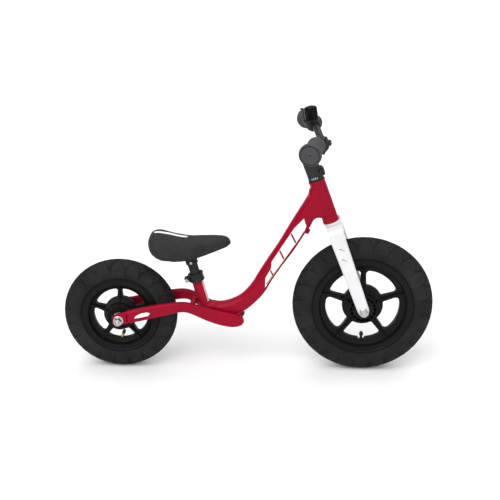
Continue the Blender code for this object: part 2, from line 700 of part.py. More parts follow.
def make_fork():
    paint(turned("fork_steerer", [ring(STEERER_R - 0.002, STEERER_R, CROWN_BOTTOM + 0.001, STEERER_TOP)], 28,
                 steering), SILVER, 0.35, 1.0)
    half = BLADE_Y + BLADE_THICKNESS / 2
    inside = BLADE_Y - BLADE_THICKNESS / 2
    half_outline = [(half, CROWN_BOTTOM - 0.004, 0), (half, CROWN_TOP - 0.007, 0.009), (0.034, CROWN_TOP, 0.008)]
    inner_outline = [(-inside, CROWN_BOTTOM - 0.004, 0), (-0.034, CROWN_BOTTOM, 0.005), (0.034, CROWN_BOTTOM, 0.005),
                     (inside, CROWN_BOTTOM - 0.004, 0)]
    outline = half_outline + [(-y, s, r) for y, s, r in reversed(half_outline)] + inner_outline
    crown = plate("fork_crown", [fillet(outline)], BLADE_TOP_WIDTH, steering, (FORK_OFFSET, 0, 0),
                  (math.pi / 2, 0, math.pi / 2))
    round_edges(crown, 0.0035, 2)
    race = solids("crown_race", [rod(HEAD_TUBE_R, CROWN_TOP - 0.001, -HEAD_LENGTH - GAP, segments=28)], steering,
                  collection=CUTTERS)
    boolean(crown, race, "UNION")
    boolean(crown, solids("crown_bore", [rod(STEERER_R + GAP, -0.15, -0.08, segments=28)], steering,
                          collection=CUTTERS))
    paint(crown, WHITE, 0.25)
    for side, name in ((-1, "fork_blade_right"), (1, "fork_blade_left")):
        rings = []
        for s, width in BLADE_STATIONS:
            section = rounded_section(width / 1000, BLADE_THICKNESS, 0.005)
            rings.append([Vector((FORK_OFFSET + a, side * BLADE_Y + y, s / 1000)) for a, y in section])
        blade = loft(name, rings, parent=steering)
        slot_half = AXLE_R + GAP
        slot_outline = [(FORK_OFFSET - slot_half, -0.34, 0), (FORK_OFFSET - slot_half, slot_half - AXLE_DROP, slot_half * 0.98),
                        (FORK_OFFSET + slot_half, slot_half - AXLE_DROP, slot_half * 0.98), (FORK_OFFSET + slot_half, -0.34, 0)]
        boolean(blade, plate(name + "_slot", [fillet([(x, z, r) for x, z, r in slot_outline], 5)], 0.2, steering,
                             rotation=WHEEL_TURN, collection=CUTTERS))
        paint(blade, WHITE, 0.25)
    cap = [ring(STEERER_R + GAP, HEAD_TUBE_R - 0.0003, GAP, 0.0024)]
    paint(turned("headset_cap", cap, 28, steering), SILVER, 0.3, 1.0)


def make_stem():
    """Steerer clamp, arm and the rear half of the bar clamp in one casting, slit in front for its pinch bolt."""
    stem = solids("stem", [rod(STEM_R, STEM_BOTTOM, STEM_TOP, segments=28)], steering)
    arm_outline = [mm(*corner) for corner in
                   ((-15, 34, 1), (-13, 55, 6), (12, 73, 4), (22, 81, 3), (34, 77, 0), (30, 68, 0), (21.5, 60.5, 1),
                    (16.5, 50, 3), (14, 34, 1))]
    arm = plate("stem_arm", [fillet(arm_outline)], 0.025, steering, rotation=WHEEL_TURN, collection=CUTTERS)
    boss_outline = [mm(*corner) for corner in ((8, 5, 1), (8, 26, 1), (18.5, 26, 4), (23, 20, 4), (23, 7, 3))]
    boss = plate("stem_boss", [fillet(boss_outline)], 0.021, steering, rotation=WHEEL_TURN, collection=CUTTERS)
    grip_block = solids("stem_block", [block((-0.013, -0.0170, -0.0150), (-0.0004, 0.0170, 0.0150))], bar_place,
                        rotation=(0, FACEPLATE_ANGLE, 0), collection=CUTTERS)
    for part in (arm, boss, grip_block):
        boolean(stem, part, "UNION")
    cutters = [
        solids("stem_front", [block((-0.0004, -0.03, -0.0162), (0.03, 0.03, 0.0162))], bar_place,
               rotation=(0, FACEPLATE_ANGLE, 0), collection=CUTTERS),
        solids("stem_cap_seat", [rod(STEM_R + GAP, STEM_TOP, STEM_TOP + 0.04, segments=32)], steering,
               collection=CUTTERS),
        solids("stem_bore", [rod(STEERER_R + GAP, -0.01, STEM_TOP + 0.03, segments=28)], steering, collection=CUTTERS),
        solids("stem_bar_bore", [rod(BAR_R + GAP, -0.04, 0.04, ALONG_Y, 24)], bar_place, collection=CUTTERS),
        solids("stem_slit", [block((0.005, -0.0010, -0.01), (0.03, 0.0010, 0.0315))], steering, collection=CUTTERS),
        solids("stem_pinch_hole", [rod(0.0028, -0.02, 0.02, Matrix.Translation(PINCH_BOLT) @ ALONG_Y, 14)], steering,
               collection=CUTTERS),
        solids("stem_bolt_holes", [rod(0.0023, -0.0118, 0.01, place, 12) for place in faceplate_bolt_places()],
               bar_place, rotation=(0, FACEPLATE_ANGLE, 0), collection=CUTTERS),
    ]
    for cutter in cutters:
        boolean(stem, cutter)
    paint(stem, DARK_GREY, 0.4)
    at = Matrix.Translation(PINCH_BOLT) @ ALONG_Y
    pinch = solids("stem_pinch_bolt", [rod(0.0025, -0.0110, 0.0112, at, 14)], steering)
    head = solids("pinch_bolt_head", [rod(0.0042, -0.0148, -0.0108, at, 18)], steering, collection=CUTTERS)
    boolean(pinch, head, "UNION")
    paint(pinch, BLACK, 0.35, 0.6)
    cap = turned("stem_cap", [[(0, 0.0028), (0.0148, 0.0028), (STEM_R - 0.0003, 0.0012), (STEM_R - 0.0003, 0),
                               (0, 0)]], 32, steering, (0, 0, STEM_TOP + GAP), closed=False)
    paint(cap, BLACK, 0.4)


def faceplate_bolt_places():
    """Where the four faceplate bolts lie, with Z out of the plate."""
    along_x = Matrix.Rotation(math.pi / 2, 4, "Y")
    return [Matrix.Translation((0, y, z)) @ along_x for y in (-0.0105, 0.0105) for z in (-0.0117, 0.0117)]


def make_faceplate():
    turn = (0, FACEPLATE_ANGLE, 0)
    plate_body = solids("stem_faceplate", [block((0.0004, -0.0170, -0.0155), (0.0070, 0.0170, 0.0155))], bar_place,
                        rotation=turn)
    shell = solids("faceplate_shell", [rod(0.0160, -0.0170, 0.0170, ALONG_Y, 28)], bar_place, rotation=turn,
                   collection=CUTTERS)
    boolean(plate_body, shell, "UNION")
    cutters = [
        solids("faceplate_back", [block((-0.03, -0.03, -0.03), (0.0004, 0.03, 0.03))], bar_place, rotation=turn,
               collection=CUTTERS),
        solids("faceplate_bore", [rod(BAR_R + GAP, -0.04, 0.04, ALONG_Y, 24)], bar_place, collection=CUTTERS),
        solids("faceplate_holes", [rod(0.0023, -0.001, 0.03, place, 12) for place in faceplate_bolt_places()],
               bar_place, rotation=turn, collection=CUTTERS),
        solids("faceplate_seats", [rod(0.0042, 0.0100, 0.03, place, 16) for place in faceplate_bolt_places()],
               bar_place, rotation=turn, collection=CUTTERS),
    ]
    for cutter in cutters:
        boolean(plate_body, cutter)
    paint(plate_body, DARK_GREY, 0.4)
    for number, place in enumerate(faceplate_bolt_places(), 1):
        name = "faceplate_bolt_" + str(number)
        bolt = solids(name, [rod(0.0020, -0.0110, 0.0115, place, 12)], bar_place, rotation=turn)
        head = solids(name + "_head", [rod(0.0038, 0.0103, 0.0165, place, 12)], bar_place, rotation=turn,
                      collection=CUTTERS)
        boolean(bolt, head, "UNION")
        paint(bolt, BLACK, 0.35, 0.6)


# ---------------------------------------------------------------- handlebar, grips and bell


def make_handlebar():
    bend = smooth_through([place for place in BAR_PATH + [tuple(GRIP_INNER - GRIP_AXIS * 0.004)]], 2)
    left = [Vector(place) for place in bend] + [GRIP_INNER + GRIP_AXIS * 0.022, GRIP_INNER + GRIP_AXIS * 0.058]
    right = [Vector((p.x, -p.y, p.z)) for p in left]
    bar = pipe("handlebar", list(reversed(right[1:])) + left, BAR_R, bar_place, resolution=3)
    paint(bar, DARK_GREY, 0.35, 0.4)
    length = GRIP_LENGTH
    outer_side = [(0.0015, length), (0.0185, length), (0.0220, length - 0.0035), (0.0220, length - 0.0095),
                  (0.0165, length - 0.0140), (0.0160, 0.0080), (0.0190, 0.0050), (0.0190, 0)]
    inner_side = [(BAR_R + GAP, 0), (BAR_R + GAP, length - 0.0090), (0.0015, length - 0.0090)]
    for side, name in ((-1, "grip_right"), (1, "grip_left")):
        axis = Vector((GRIP_AXIS.x, side * GRIP_AXIS.y, GRIP_AXIS.z))
        place = Vector((GRIP_INNER.x, side * GRIP_INNER.y, GRIP_INNER.z))
        grip = turned(name, [outer_side + inner_side], 22, bar_place, place, axis.to_track_quat("Z", "Y").to_euler())
        paint(grip, DARK_GREY, 0.6)


def make_bell():
    """A sprung-hammer bell on a band round the bar. Its own Z is the dome's axis, and X points forwards."""
    base = turned("bell_base", [[(0, 0.0166), (0.0135, 0.0166), (0.0135, 0.0135), (0, 0.0135)]], 24, bell_place,
                  (BELL_SHIFT, 0, 0), closed=False)
    band = solids("bell_band", [rod(0.0112, -0.006, 0.006, ALONG_Y, 24)], bell_place, collection=CUTTERS)
    neck = solids("bell_neck", [block((BELL_SHIFT - 0.001, -0.0058, 0.002), (BELL_SHIFT + 0.0095, 0.0058, 0.0150))],
                  bell_place, collection=CUTTERS)
    back = BELL_SHIFT - 0.0170
    ears = solids("bell_ears", [block((back - 0.0022, y - 0.001, 0.0128), (BELL_SHIFT - 0.010, y + 0.001, 0.0166))
                                for y in (-0.0042, 0.0042)], bell_place, collection=CUTTERS)
    for part in (band, neck, ears):
        boolean(base, part, "UNION")
    bore = pipe("bell_bore", [(p[0] - BAR_PATH[-1][0], p[1] - BAR_PATH[-1][1], p[2] - BAR_PATH[-1][2])
                              for p in smooth_through([place for place in
                                                       BAR_PATH + [tuple(GRIP_INNER - GRIP_AXIS * 0.004)]], 2)],
                BAR_R + 0.0004, add_empty("bell_level", (0, 0, 0), bell_place, BELL_TILT), resolution=4,
                collection=CUTTERS)
    pin_place = Matrix.Translation((back, 0, 0.0147)) @ ALONG_Y
    pin_hole = solids("bell_pin_hole", [rod(0.0011, -0.01, 0.01, pin_place, 12)], bell_place, collection=CUTTERS)
    boolean(base, bore)
    boolean(base, pin_hole)
    paint(base, BLACK, 0.35)
    dome = turned("bell_dome", [[(0.0024, 0.0430), (0.0105, 0.0430), (0.0133, 0.0417), (0.0140, 0.0390),
                                 (0.0140, 0.0175), (0.0128, 0.0175), (0.0128, 0.0385), (0.0122, 0.0407),
                                 (0.0100, 0.0418), (0.0024, 0.0418)]], 24, bell_place, (BELL_SHIFT, 0, 0))
    paint(dome, BLACK, 0.12, 0.3)
    screw = turned("bell_screw", [[(0, 0.0450), (0.0040, 0.0445), (0.0045, 0.0433), (0.0020, 0.0433),
                                   (0.0020, 0.0169), (0, 0.0169)]], 16, bell_place, (BELL_SHIFT, 0, 0), closed=False)
    paint(screw, SILVER, 0.25, 1.0)
    arm = solids("bell_striker", [block((back - 0.0012, -0.0028, 0.0128), (back + 0.0009, 0.0028, 0.0415))],
                 bell_place)
    tab = solids("striker_tab", [block((back - 0.0060, -0.0028, 0.0395), (back - 0.0005, 0.0028, 0.0415))],
                 bell_place, collection=CUTTERS)
    pin = solids("striker_pin", [rod(0.0008, -0.0060, 0.0060, pin_place, 10)], bell_place, collection=CUTTERS)
    boolean(arm, tab, "UNION")
    boolean(arm, pin, "UNION")
    paint(arm, BLACK, 0.3)


# ---------------------------------------------------------------- seat


def saddle_ring(x, half, top, bottom):
    """One cross-section of the saddle: a domed top that rolls over into deep side skirts."""
    height = top - bottom
    points = [(half * across, bottom + height * up) for across, up in
              ((1, 0), (1, 0.22), (0.97, 0.45), (0.86, 0.68), (0.66, 0.85), (0.36, 0.965), (0, 1))]
    loop = points + [(-y, z) for y, z in reversed(points[:-1])]
    return [Vector((x, y, z)) for y, z in loop]


def pan_ring(x, edge, low, high):
    return [Vector((x, y, z)) for y, z in ((edge, low), (edge, high), (-edge, high), (-edge, low))]


def make_saddle():
    rows = [mm(*row) for row in SADDLE_STATIONS]
    pad = loft("saddle_pad", [saddle_ring(*row) for row in rows])
    edges = [(row[0], (row[1] - PAD_SIDE) * 0.84 - 0.001) for row in rows[3:-4]]
    pan = loft("saddle_pan", [pan_ring(x, edge, PAN_BOTTOM, PAN_TOP) for x, edge in edges])
    recess = [(edges[0][0] - GAP, edges[0][1])] + edges[1:-1] + [(edges[-1][0] + GAP, edges[-1][1])]
    hollow = loft("saddle_hollow", [pan_ring(x, edge + GAP, 0.24, PAN_TOP + GAP) for x, edge in recess])
    boolean(pad, move_to_cutters(hollow))
    paint(pad, DARK_GREY, 0.6)
    paint(pan, BLACK, 0.5)
    profile = [(0, 0.095), (0.026, 0.095), (0.022, 0.068), (0.0150, 0.056), (BRACKET_R, 0.050),
               (BRACKET_R, BRACKET_BOTTOM), (POST_R + GAP, BRACKET_BOTTOM), (POST_R + GAP, POST_TOP + GAP),
               (0, POST_TOP + GAP)]
    bracket = turned("saddle_bracket", [profile], 28, seat_slide, closed=False)
    above = solids("bracket_top_cut", [block((-0.25, -0.05, PAN_BOTTOM - GAP), (0, 0.05, 0.36))], collection=CUTTERS)
    boolean(bracket, above)
    at = Matrix.Translation((0, 0, CROSS_BOLT)) @ ALONG_Y
    bolt_hole = solids("cross_bolt_hole", [rod(0.0029, -0.03, 0.03, at, 14)], seat_slide, collection=CUTTERS)
    boolean(bracket, bolt_hole)
    paint(bracket, BLACK, 0.45)
    post = turned("seatpost", [ring(POST_R - 0.0016, POST_R, POST_BOTTOM, POST_TOP)], 28, seat_slide)
    boolean(post, bolt_hole)
    paint(post, BLACK, 0.35, 0.4)
    bolt = solids("saddle_cross_bolt", [rod(0.0025, -0.0162, 0.0150, at, 14)], seat_slide)
    head = solids("cross_bolt_head", [rod(0.0042, -0.0178, -0.0146, at, 18)], seat_slide, collection=CUTTERS)
    nut = solids("cross_bolt_nut", [rod(0.0045, 0.0146, 0.0180, at, 6)], seat_slide, collection=CUTTERS)
    boolean(bolt, head, "UNION")
    boolean(bolt, nut, "UNION")
    paint(bolt, SILVER, 0.25, 1.0)


def move_to_cutters(obj):
    BIKE.objects.unlink(obj)
    CUTTERS.objects.link(obj)
    return obj


# ---------------------------------------------------------------- the bike

make_head_tube()
make_main_tube()
make_seat_tube()
for stay_side, side_name in ((-1, "right"), (1, "left")):
    make_stay(stay_side, "stay_" + side_name)
    make_dropout(stay_side, "dropout_" + side_name)
make_frame_details()
make_seat_collar()
make_wheel("front", FRONT_R, FRONT_TYRE_WIDTH, FRONT_WHEEL, FRONT_VALVE_LOW, 0.014, fork_end, front_spin,
           FRONT_AXLE_HALF, BLADE_Y - BLADE_THICKNESS / 2)
make_wheel("rear", REAR_R, REAR_TYRE_WIDTH, REAR_WHEEL, 0.050, 0.012, rear_end, rear_spin, REAR_AXLE_HALF,
           STAY_Y + STAY_WIDTH / 2 - DROPOUT_THICKNESS)
make_axle_nuts("front", BLADE_Y + BLADE_THICKNESS / 2, FRONT_AXLE_HALF - 0.0015, 0.0105, fork_end)
make_axle_nuts("rear", STAY_Y + STAY_WIDTH / 2, REAR_AXLE_HALF - 0.0045, 0.0112, rear_end)
make_valves()
make_fork()
make_stem()
make_faceplate()
make_handlebar()
make_bell()
make_saddle()
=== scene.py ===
"""Looks of the balance bike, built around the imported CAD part.

All lengths are in metres, in the CAD frame, unless a comment or mm() says millimetres.
"""

from collections import namedtuple
from math import asin, cos, hypot, pi, radians, sin, sqrt, tan

import bmesh
import bpy
from mathutils import Matrix, Vector
from mathutils.bvhtree import BVHTree


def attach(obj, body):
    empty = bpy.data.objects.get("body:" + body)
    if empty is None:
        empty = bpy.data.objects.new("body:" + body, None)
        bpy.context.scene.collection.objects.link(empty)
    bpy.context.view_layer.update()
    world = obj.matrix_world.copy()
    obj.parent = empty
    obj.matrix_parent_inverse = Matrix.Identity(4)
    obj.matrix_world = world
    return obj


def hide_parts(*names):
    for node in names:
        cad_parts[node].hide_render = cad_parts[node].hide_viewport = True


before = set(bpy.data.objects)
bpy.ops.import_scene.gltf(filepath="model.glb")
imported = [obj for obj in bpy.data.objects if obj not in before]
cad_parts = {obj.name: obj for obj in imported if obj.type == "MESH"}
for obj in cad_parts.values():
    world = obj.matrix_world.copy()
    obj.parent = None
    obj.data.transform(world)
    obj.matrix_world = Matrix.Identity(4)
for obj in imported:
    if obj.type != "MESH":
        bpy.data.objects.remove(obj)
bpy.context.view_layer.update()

# ------------------------------------------------------------------ dimensions shared with the CAD part
FRONT_R, FRONT_WIDTH = 0.156, 0.0535
REAR_R, REAR_WIDTH = 0.1275, 0.0495
WHEELBASE = 0.5417
REAR_X = (REAR_R - FRONT_R - WHEELBASE) / 2
HEAD_TOP = Vector((0.148, 0, 0.443))
HEAD_ANGLE = radians(20.1)
HEAD_LENGTH = 0.099
HEAD_R = 0.0175
STEERER_R = 0.0111
FORK_SHIFT = 0.00335
AXLE_DROP = 0.30685
DROPOUT_X = -0.2680
BLADE_Y = 0.046
SEAT_TUBE_R = 0.0127
POST_R = 0.0111
BAR_R = 0.008
BAR_PATH = [Vector(p) for p in ((0, 0, 0), (0, 0.0175, 0), (0, 0.022, 0), (-0.0015, 0.042, 0.0035),
                                (-0.006, 0.062, 0.012), (-0.0105, 0.081, 0.0185))]
GRIP_START = Vector((-0.0135, 0.098, 0.0208))
GRIP_AXIS = Vector((-0.0137, 0.060, -0.0026)).normalized()
GRIP_LENGTH = 0.069


def turn(axis, degrees):
    return Matrix.Rotation(radians(degrees), 4, axis)


def shift(*place):
    return Matrix.Translation(Vector(place))


STEER = Matrix.Translation(HEAD_TOP) @ Matrix.Rotation(-HEAD_ANGLE, 4, "Y")
BAR = Matrix.Translation(STEER @ Vector((0.0356, 0, 0.0711)))
FRONT_AXLE = Matrix.Translation(STEER @ Vector((FORK_SHIFT, 0, -AXLE_DROP)))
REAR_AXLE = shift(REAR_X, 0, REAR_R)
SEAT = shift(-0.112, 0, 0.2095) @ turn("Y", -15)
BELL = BAR @ Matrix.Translation(BAR_PATH[-1]) @ turn("Y", -9.5)
FACEPLATE = BAR @ turn("Y", 34)
PINCH = STEER @ shift(0.0172, 0, 0.0175)
ALONG_Y = turn("X", -90)
ALONG_X = turn("Y", 90)
# Wheel plane: X stays X, Y points up and Z to the rider's right
WHEEL = turn("X", 90)
FACEPLATE_BOLTS = [FACEPLATE @ shift(0, y, z) @ ALONG_X for y in (-0.0105, 0.0105) for z in (-0.0117, 0.0117)]
SIDES = ((-1, "right"), (1, "left"))

# Radii of the rim, from its flange in to the hub, with the half width at the flange and at the hub
Rim = namedtuple("Rim", "flange half lip web ring hub hub_half")
FRONT_RIM = Rim(flange=0.112, half=0.0215, lip=0.0990, web=0.0825, ring=0.0445, hub=0.0305, hub_half=0.036)
REAR_RIM = Rim(flange=0.0870, half=0.0200, lip=0.0735, web=0.0610, ring=0.0372, hub=0.0290, hub_half=0.031)
# A spoke's width at the hub and at the rim, the rounding of its outer corners, how far down the valve
# reaches, and the tyre's tread: blocks around it and how far they reach down its side
Wheel = namedtuple("Wheel", "end place radius width rim spoke corner valve blocks reach")
FRONT = Wheel(end="front", place=FRONT_AXLE, radius=FRONT_R, width=FRONT_WIDTH, rim=FRONT_RIM,
              spoke=(0.0138, 0.0105), corner=0.0080, valve=0.069, blocks=24, reach=1.34)
REAR = Wheel(end="rear", place=REAR_AXLE, radius=REAR_R, width=REAR_WIDTH, rim=REAR_RIM,
             spoke=(0.0132, 0.0082), corner=0.0050, valve=0.050, blocks=20, reach=1.42)


# ------------------------------------------------------------------ materials

# The slot of each finish, by the finish's name
slots = {}


class Nodes:
    """A small wrapper that adds shader nodes and links them."""

    def __init__(self, name):
        self.material = bpy.data.materials.new(name)
        self.material.use_nodes = True
        self.tree = self.material.node_tree
        self.shader = self.tree.nodes["Principled BSDF"]
        self.coords = self.tree.nodes.new("ShaderNodeTexCoord").outputs["Object"]

    def add(self, kind, inputs=(), **settings):
        node = self.tree.nodes.new("ShaderNode" + kind)
        for key, value in settings.items():
            setattr(node, key, value)
        for key, value in dict(inputs).items():
            if isinstance(value, bpy.types.NodeSocket):
                self.tree.links.new(value, node.inputs[key])
            else:
                node.inputs[key].default_value = value
        return node

    def noise(self, scale, detail=3.0, roughness=0.55):
        return self.add("TexNoise", {"Vector": self.coords, "Scale": scale, "Detail": detail,
                                     "Roughness": roughness}).outputs["Fac"]

    def ramp(self, factor, low, high, low_at=0.35, high_at=0.65):
        node = self.add("ValToRGB", {"Fac": factor})
        for element, colour, place in zip(node.color_ramp.elements, (low, high), (low_at, high_at)):
            element.color = (*colour, 1)
            element.position = place
        return node.outputs["Color"]

    def spread(self, value, low, high, from_low=0.3, from_high=0.7):
        return self.add("MapRange", {"Value": value, "From Min": from_low, "From Max": from_high,
                                     "To Min": low, "To Max": high}).outputs["Result"]

    def mix(self, factor, first, second):
        node = self.add("Mix", data_type="RGBA")
        sockets = [node.inputs[0], node.inputs[6], node.inputs[7]]
        for socket, value in zip(sockets, (factor, first, second)):
            if isinstance(value, bpy.types.NodeSocket):
                self.tree.links.new(value, socket)
            elif isinstance(value, (int, float)):
                socket.default_value = value
            else:
                socket.default_value = (*value, 1)
        return node.outputs[2]


def tinted(colour, factor):
    return tuple(min(1.0, channel * factor) for channel in colour)


def material(name, slot, colour, rough, metallic=0.0, coat=0.0, vary=0.12, vary_scale=45, rough_vary=0.07,
             rough_scale=160, bumps=(), edge=None, dust=None, specular=0.5, sheen=0.0):
    """A finish whose colour and roughness vary, with fine relief, worn edges and settled dust."""
    n = Nodes(name)
    tone = n.ramp(n.noise(vary_scale, 4), tinted(colour, 1 - vary), tinted(colour, 1 + vary))
    if dust:
        dust_colour, dust_amount, dust_scale = dust
        patches = n.spread(n.noise(dust_scale, 6, 0.65), 0.0, dust_amount, 0.48, 0.72)
        tone = n.mix(patches, tone, dust_colour)
    if edge:
        edge_colour, edge_amount, start, end = edge
        sharp = n.add("NewGeometry").outputs["Pointiness"]
        tone = n.mix(n.spread(sharp, 0.0, edge_amount, start, end), tone, edge_colour)
    n.tree.links.new(tone, n.shader.inputs["Base Color"])
    rough_map = n.spread(n.noise(rough_scale, 4), rough - rough_vary, rough + rough_vary)
    n.tree.links.new(rough_map, n.shader.inputs["Roughness"])
    n.shader.inputs["Metallic"].default_value = metallic
    n.shader.inputs["Specular IOR Level"].default_value = specular
    n.shader.inputs["Coat Weight"].default_value = coat
    n.shader.inputs["Coat Roughness"].default_value = 0.06
    n.shader.inputs["Sheen Weight"].default_value = sheen
    normal = None
    for kind, scale, height in bumps:
        if kind == "noise":
            source = n.noise(scale, 3)
        elif kind == "grain":
            source = n.add("TexVoronoi", {"Vector": n.coords, "Scale": scale, "Randomness": 1.0},
                           feature="DISTANCE_TO_EDGE").outputs["Distance"]
        else:
            source = n.add("TexVoronoi",
                           {"Vector": n.coords, "Scale": scale, "Randomness": 0.15}).outputs["Distance"]
        sockets = {"Height": source, "Distance": height, "Strength": 1.0}
        if normal:
            sockets["Normal"] = normal
        normal = n.add("Bump", sockets).outputs["Normal"]
    if normal:
        n.tree.links.new(normal, n.shader.inputs["Normal"])
    slots[n.material.name] = slot
    return n.material


# Fine relief shared by several finishes
LACQUER = ("noise", 900, 0.00004)
FILM = ("noise", 900, 0.00003)

RED = material("red_paint", "frame_red", (0.262, 0.0016, 0.0165), 0.36, coat=0.05, specular=0.07, vary=0.05,
               vary_scale=30, rough_vary=0.05, bumps=(LACQUER, ("noise", 160, 0.00006)),
               edge=((0.42, 0.02, 0.05), 0.25, 0.53, 0.62))
WHITE = material("white_paint", "fork_white", (0.665, 0.667, 0.680), 0.32, coat=0.10, specular=0.30,
                 vary=0.03, vary_scale=30, rough_vary=0.05, bumps=(LACQUER, ("noise", 150, 0.00006)),
                 dust=((0.62, 0.61, 0.60), 0.10, 25))
TYRE = material("tyre_rubber", "tyre_rubber", (0.0115, 0.0112, 0.0120), 0.76, vary=0.20, vary_scale=28,
                rough_vary=0.08, bumps=(("noise", 1500, 0.00006), ("grain", 420, 0.00004)),
                dust=((0.034, 0.032, 0.031), 0.45, 16), edge=((0.036, 0.035, 0.035), 0.5, 0.53, 0.66),
                specular=0.14)
RIM = material("rim_plastic", "rim_plastic", (0.0048, 0.0046, 0.0050), 0.46, vary=0.16, vary_scale=50,
               bumps=(("noise", 1300, 0.00004), ("grain", 900, 0.00002)),
               edge=((0.020, 0.020, 0.021), 0.55, 0.53, 0.66), specular=0.12)
SADDLE = material("saddle_cover", "saddle_foam", (0.0150, 0.0143, 0.0152), 0.58, vary_scale=35,
                  bumps=(("grain", 620, 0.00016), ("noise", 260, 0.00008)),
                  dust=((0.045, 0.044, 0.045), 0.22, 22), specular=0.18, sheen=0.02)
STRIPE = material("saddle_stripe", "saddle_foam", (0.76, 0.76, 0.77), 0.50, vary=0.04,
                  bumps=(("grain", 620, 0.00010),), dust=((0.55, 0.54, 0.53), 0.12, 40))
GRIP = material("grip_rubber", "grip_rubber", (0.058, 0.056, 0.060), 0.62, vary=0.15, vary_scale=60,
                rough_vary=0.06, bumps=(("cells", 520, 0.00025), ("noise", 1600, 0.00005)),
                dust=((0.085, 0.083, 0.083), 0.20, 40), specular=0.2)
PLASTIC = material("black_plastic", "black_plastic", (0.006, 0.006, 0.0065), 0.42, specular=0.2,
                   vary_scale=70, bumps=(("noise", 1300, 0.00005),),
                   edge=((0.04, 0.04, 0.042), 0.4, 0.53, 0.64))
ALLOY = material("dark_alloy", "dark_alloy", (0.021, 0.021, 0.022), 0.46, specular=0.18, metallic=0.1,
                 vary_scale=60, bumps=(("noise", 1500, 0.00004), ("noise", 400, 0.00005)),
                 edge=((0.085, 0.085, 0.09), 0.45, 0.53, 0.66))
BAR_PAINT = material("bar_paint", "dark_steel", (0.030, 0.030, 0.032), 0.40, specular=0.25, metallic=0.15,
                     coat=0.05, vary=0.10, vary_scale=60, bumps=(LACQUER,))
POST_PAINT = material("post_paint", "dark_steel", (0.011, 0.011, 0.012), 0.36, specular=0.2, metallic=0.1,
                      coat=0.05, vary_scale=60, bumps=(LACQUER,), edge=((0.25, 0.25, 0.26), 0.25, 0.55, 0.7))
BLACK_STEEL = material("black_steel", "black_fastener", (0.008, 0.008, 0.009), 0.38, metallic=0.3,
                       specular=0.3, vary=0.15, vary_scale=120, bumps=(("noise", 1600, 0.00003),),
                       edge=((0.16, 0.16, 0.17), 0.40, 0.54, 0.68))
ZINC = material("zinc_steel", "zinc_steel", (0.47, 0.46, 0.47), 0.30, metallic=1.0, vary=0.10, vary_scale=140,
                rough_vary=0.09, rough_scale=260, bumps=(("noise", 1400, 0.00003),),
                dust=((0.40, 0.39, 0.37), 0.25, 90))
BRASS = material("brass", "valve_brass", (0.60, 0.42, 0.16), 0.30, metallic=1.0, vary_scale=160,
                 bumps=(("noise", 1500, 0.00003),), dust=((0.30, 0.22, 0.10), 0.35, 140))
BELL_GLOSS = material("bell_lacquer", "bell_black", (0.0022, 0.0022, 0.0025), 0.20, specular=0.07, coat=0.04,
                      vary=0.10, vary_scale=80, rough_vary=0.03, bumps=(("noise", 500, 0.00002),))
DECAL_WHITE = material("decal_white", "frame_red", (0.82, 0.81, 0.81), 0.38, coat=0.05, specular=0.2,
                       vary=0.02, bumps=(FILM,), dust=((0.70, 0.68, 0.67), 0.10, 60))
DECAL_RED = material("decal_red", "frame_red", (0.240, 0.0018, 0.0150), 0.38, coat=0.05, specular=0.08,
                     vary=0.05, bumps=(FILM,))
DECAL_GREY = material("decal_grey", "dark_alloy", (0.24, 0.24, 0.25), 0.40, coat=0.3, vary=0.06,
                      bumps=(FILM,))
DECAL_BLACK = material("decal_black", "frame_red", (0.02, 0.02, 0.02), 0.40, coat=0.3, vary=0.06,
                       bumps=(FILM,))
SCALE = material("scale_strip", "frame_red", (0.70, 0.50, 0.52), 0.40, coat=0.05, specular=0.2, vary=0.05,
                 bumps=(FILM,))
FLOOR = material("floor", None, (0.86, 0.86, 0.865), 0.65, vary=0.012, vary_scale=3,
                 bumps=(("noise", 60, 0.0002),), specular=0.2)


# ------------------------------------------------------------------ mesh helpers


def shade(obj, sharp):
    """Shades the object smooth, with a crease wherever it turns by more than sharp degrees."""
    obj.data.shade_smooth()
    obj.data.set_sharp_from_angle(angle=radians(sharp))


def placed(name, data):
    """A new object in the scene."""
    obj = bpy.data.objects.new(name, data)
    bpy.context.scene.collection.objects.link(obj)
    return obj


def from_bmesh(bm, sharp=32.0):
    """Turns a bmesh into an object in the scene, and frees it."""
    bmesh.ops.recalc_face_normals(bm, faces=bm.faces)
    mesh = bpy.data.meshes.new("shape")
    bm.to_mesh(mesh)
    bm.free()
    obj = placed("shape", mesh)
    shade(obj, sharp)
    return obj


def mm(rows):
    """Rows of lengths given in millimetres."""
    return [tuple(value / 1000 for value in row) for row in rows]


def circle(radius, steps):
    """Points of a flat circle."""
    return [(radius * cos(2 * pi * i / steps), radius * sin(2 * pi * i / steps)) for i in range(steps)]


def skin(points, faces, sharp=32.0):
    """An object from points and from faces that list them."""
    bm = bmesh.new()
    verts = [bm.verts.new(point) for point in points]
    for face in faces:
        bm.faces.new([verts[i] for i in face])
    return from_bmesh(bm, sharp)


def grid(rows, count, around=False):
    """Faces between closed rows of count points. If around, the last row joins the first."""
    faces = []
    for row in range(rows if around else rows - 1):
        low, high = row * count, (row + 1) % rows * count
        faces += [(low + i, low + (i + 1) % count, high + (i + 1) % count, high + i) for i in range(count)]
    return faces


def revolve(profile, steps, place, sharp=32.0):
    """Turns a profile of (radius, height) about the Z axis of place.

    A profile that starts on the axis also ends there, and any other closes on itself.
    """
    points, faces, rows = [], [], []
    for radius, height in profile:
        if radius == 0:
            points.append(place @ Vector((0, 0, height)))
            rows.append([len(points) - 1] * steps)
            continue
        rows.append(list(range(len(points), len(points) + steps)))
        points += [place @ Vector((x, y, height)) for x, y in circle(radius, steps)]
    if profile[0][0]:
        rows.append(rows[0])
    for low, high in zip(rows, rows[1:]):
        for i in range(steps):
            j = (i + 1) % steps
            face = list(dict.fromkeys((low[i], low[j], high[j], high[i])))
            if len(face) > 2:
                faces.append(face)
    return skin(points, faces, sharp)


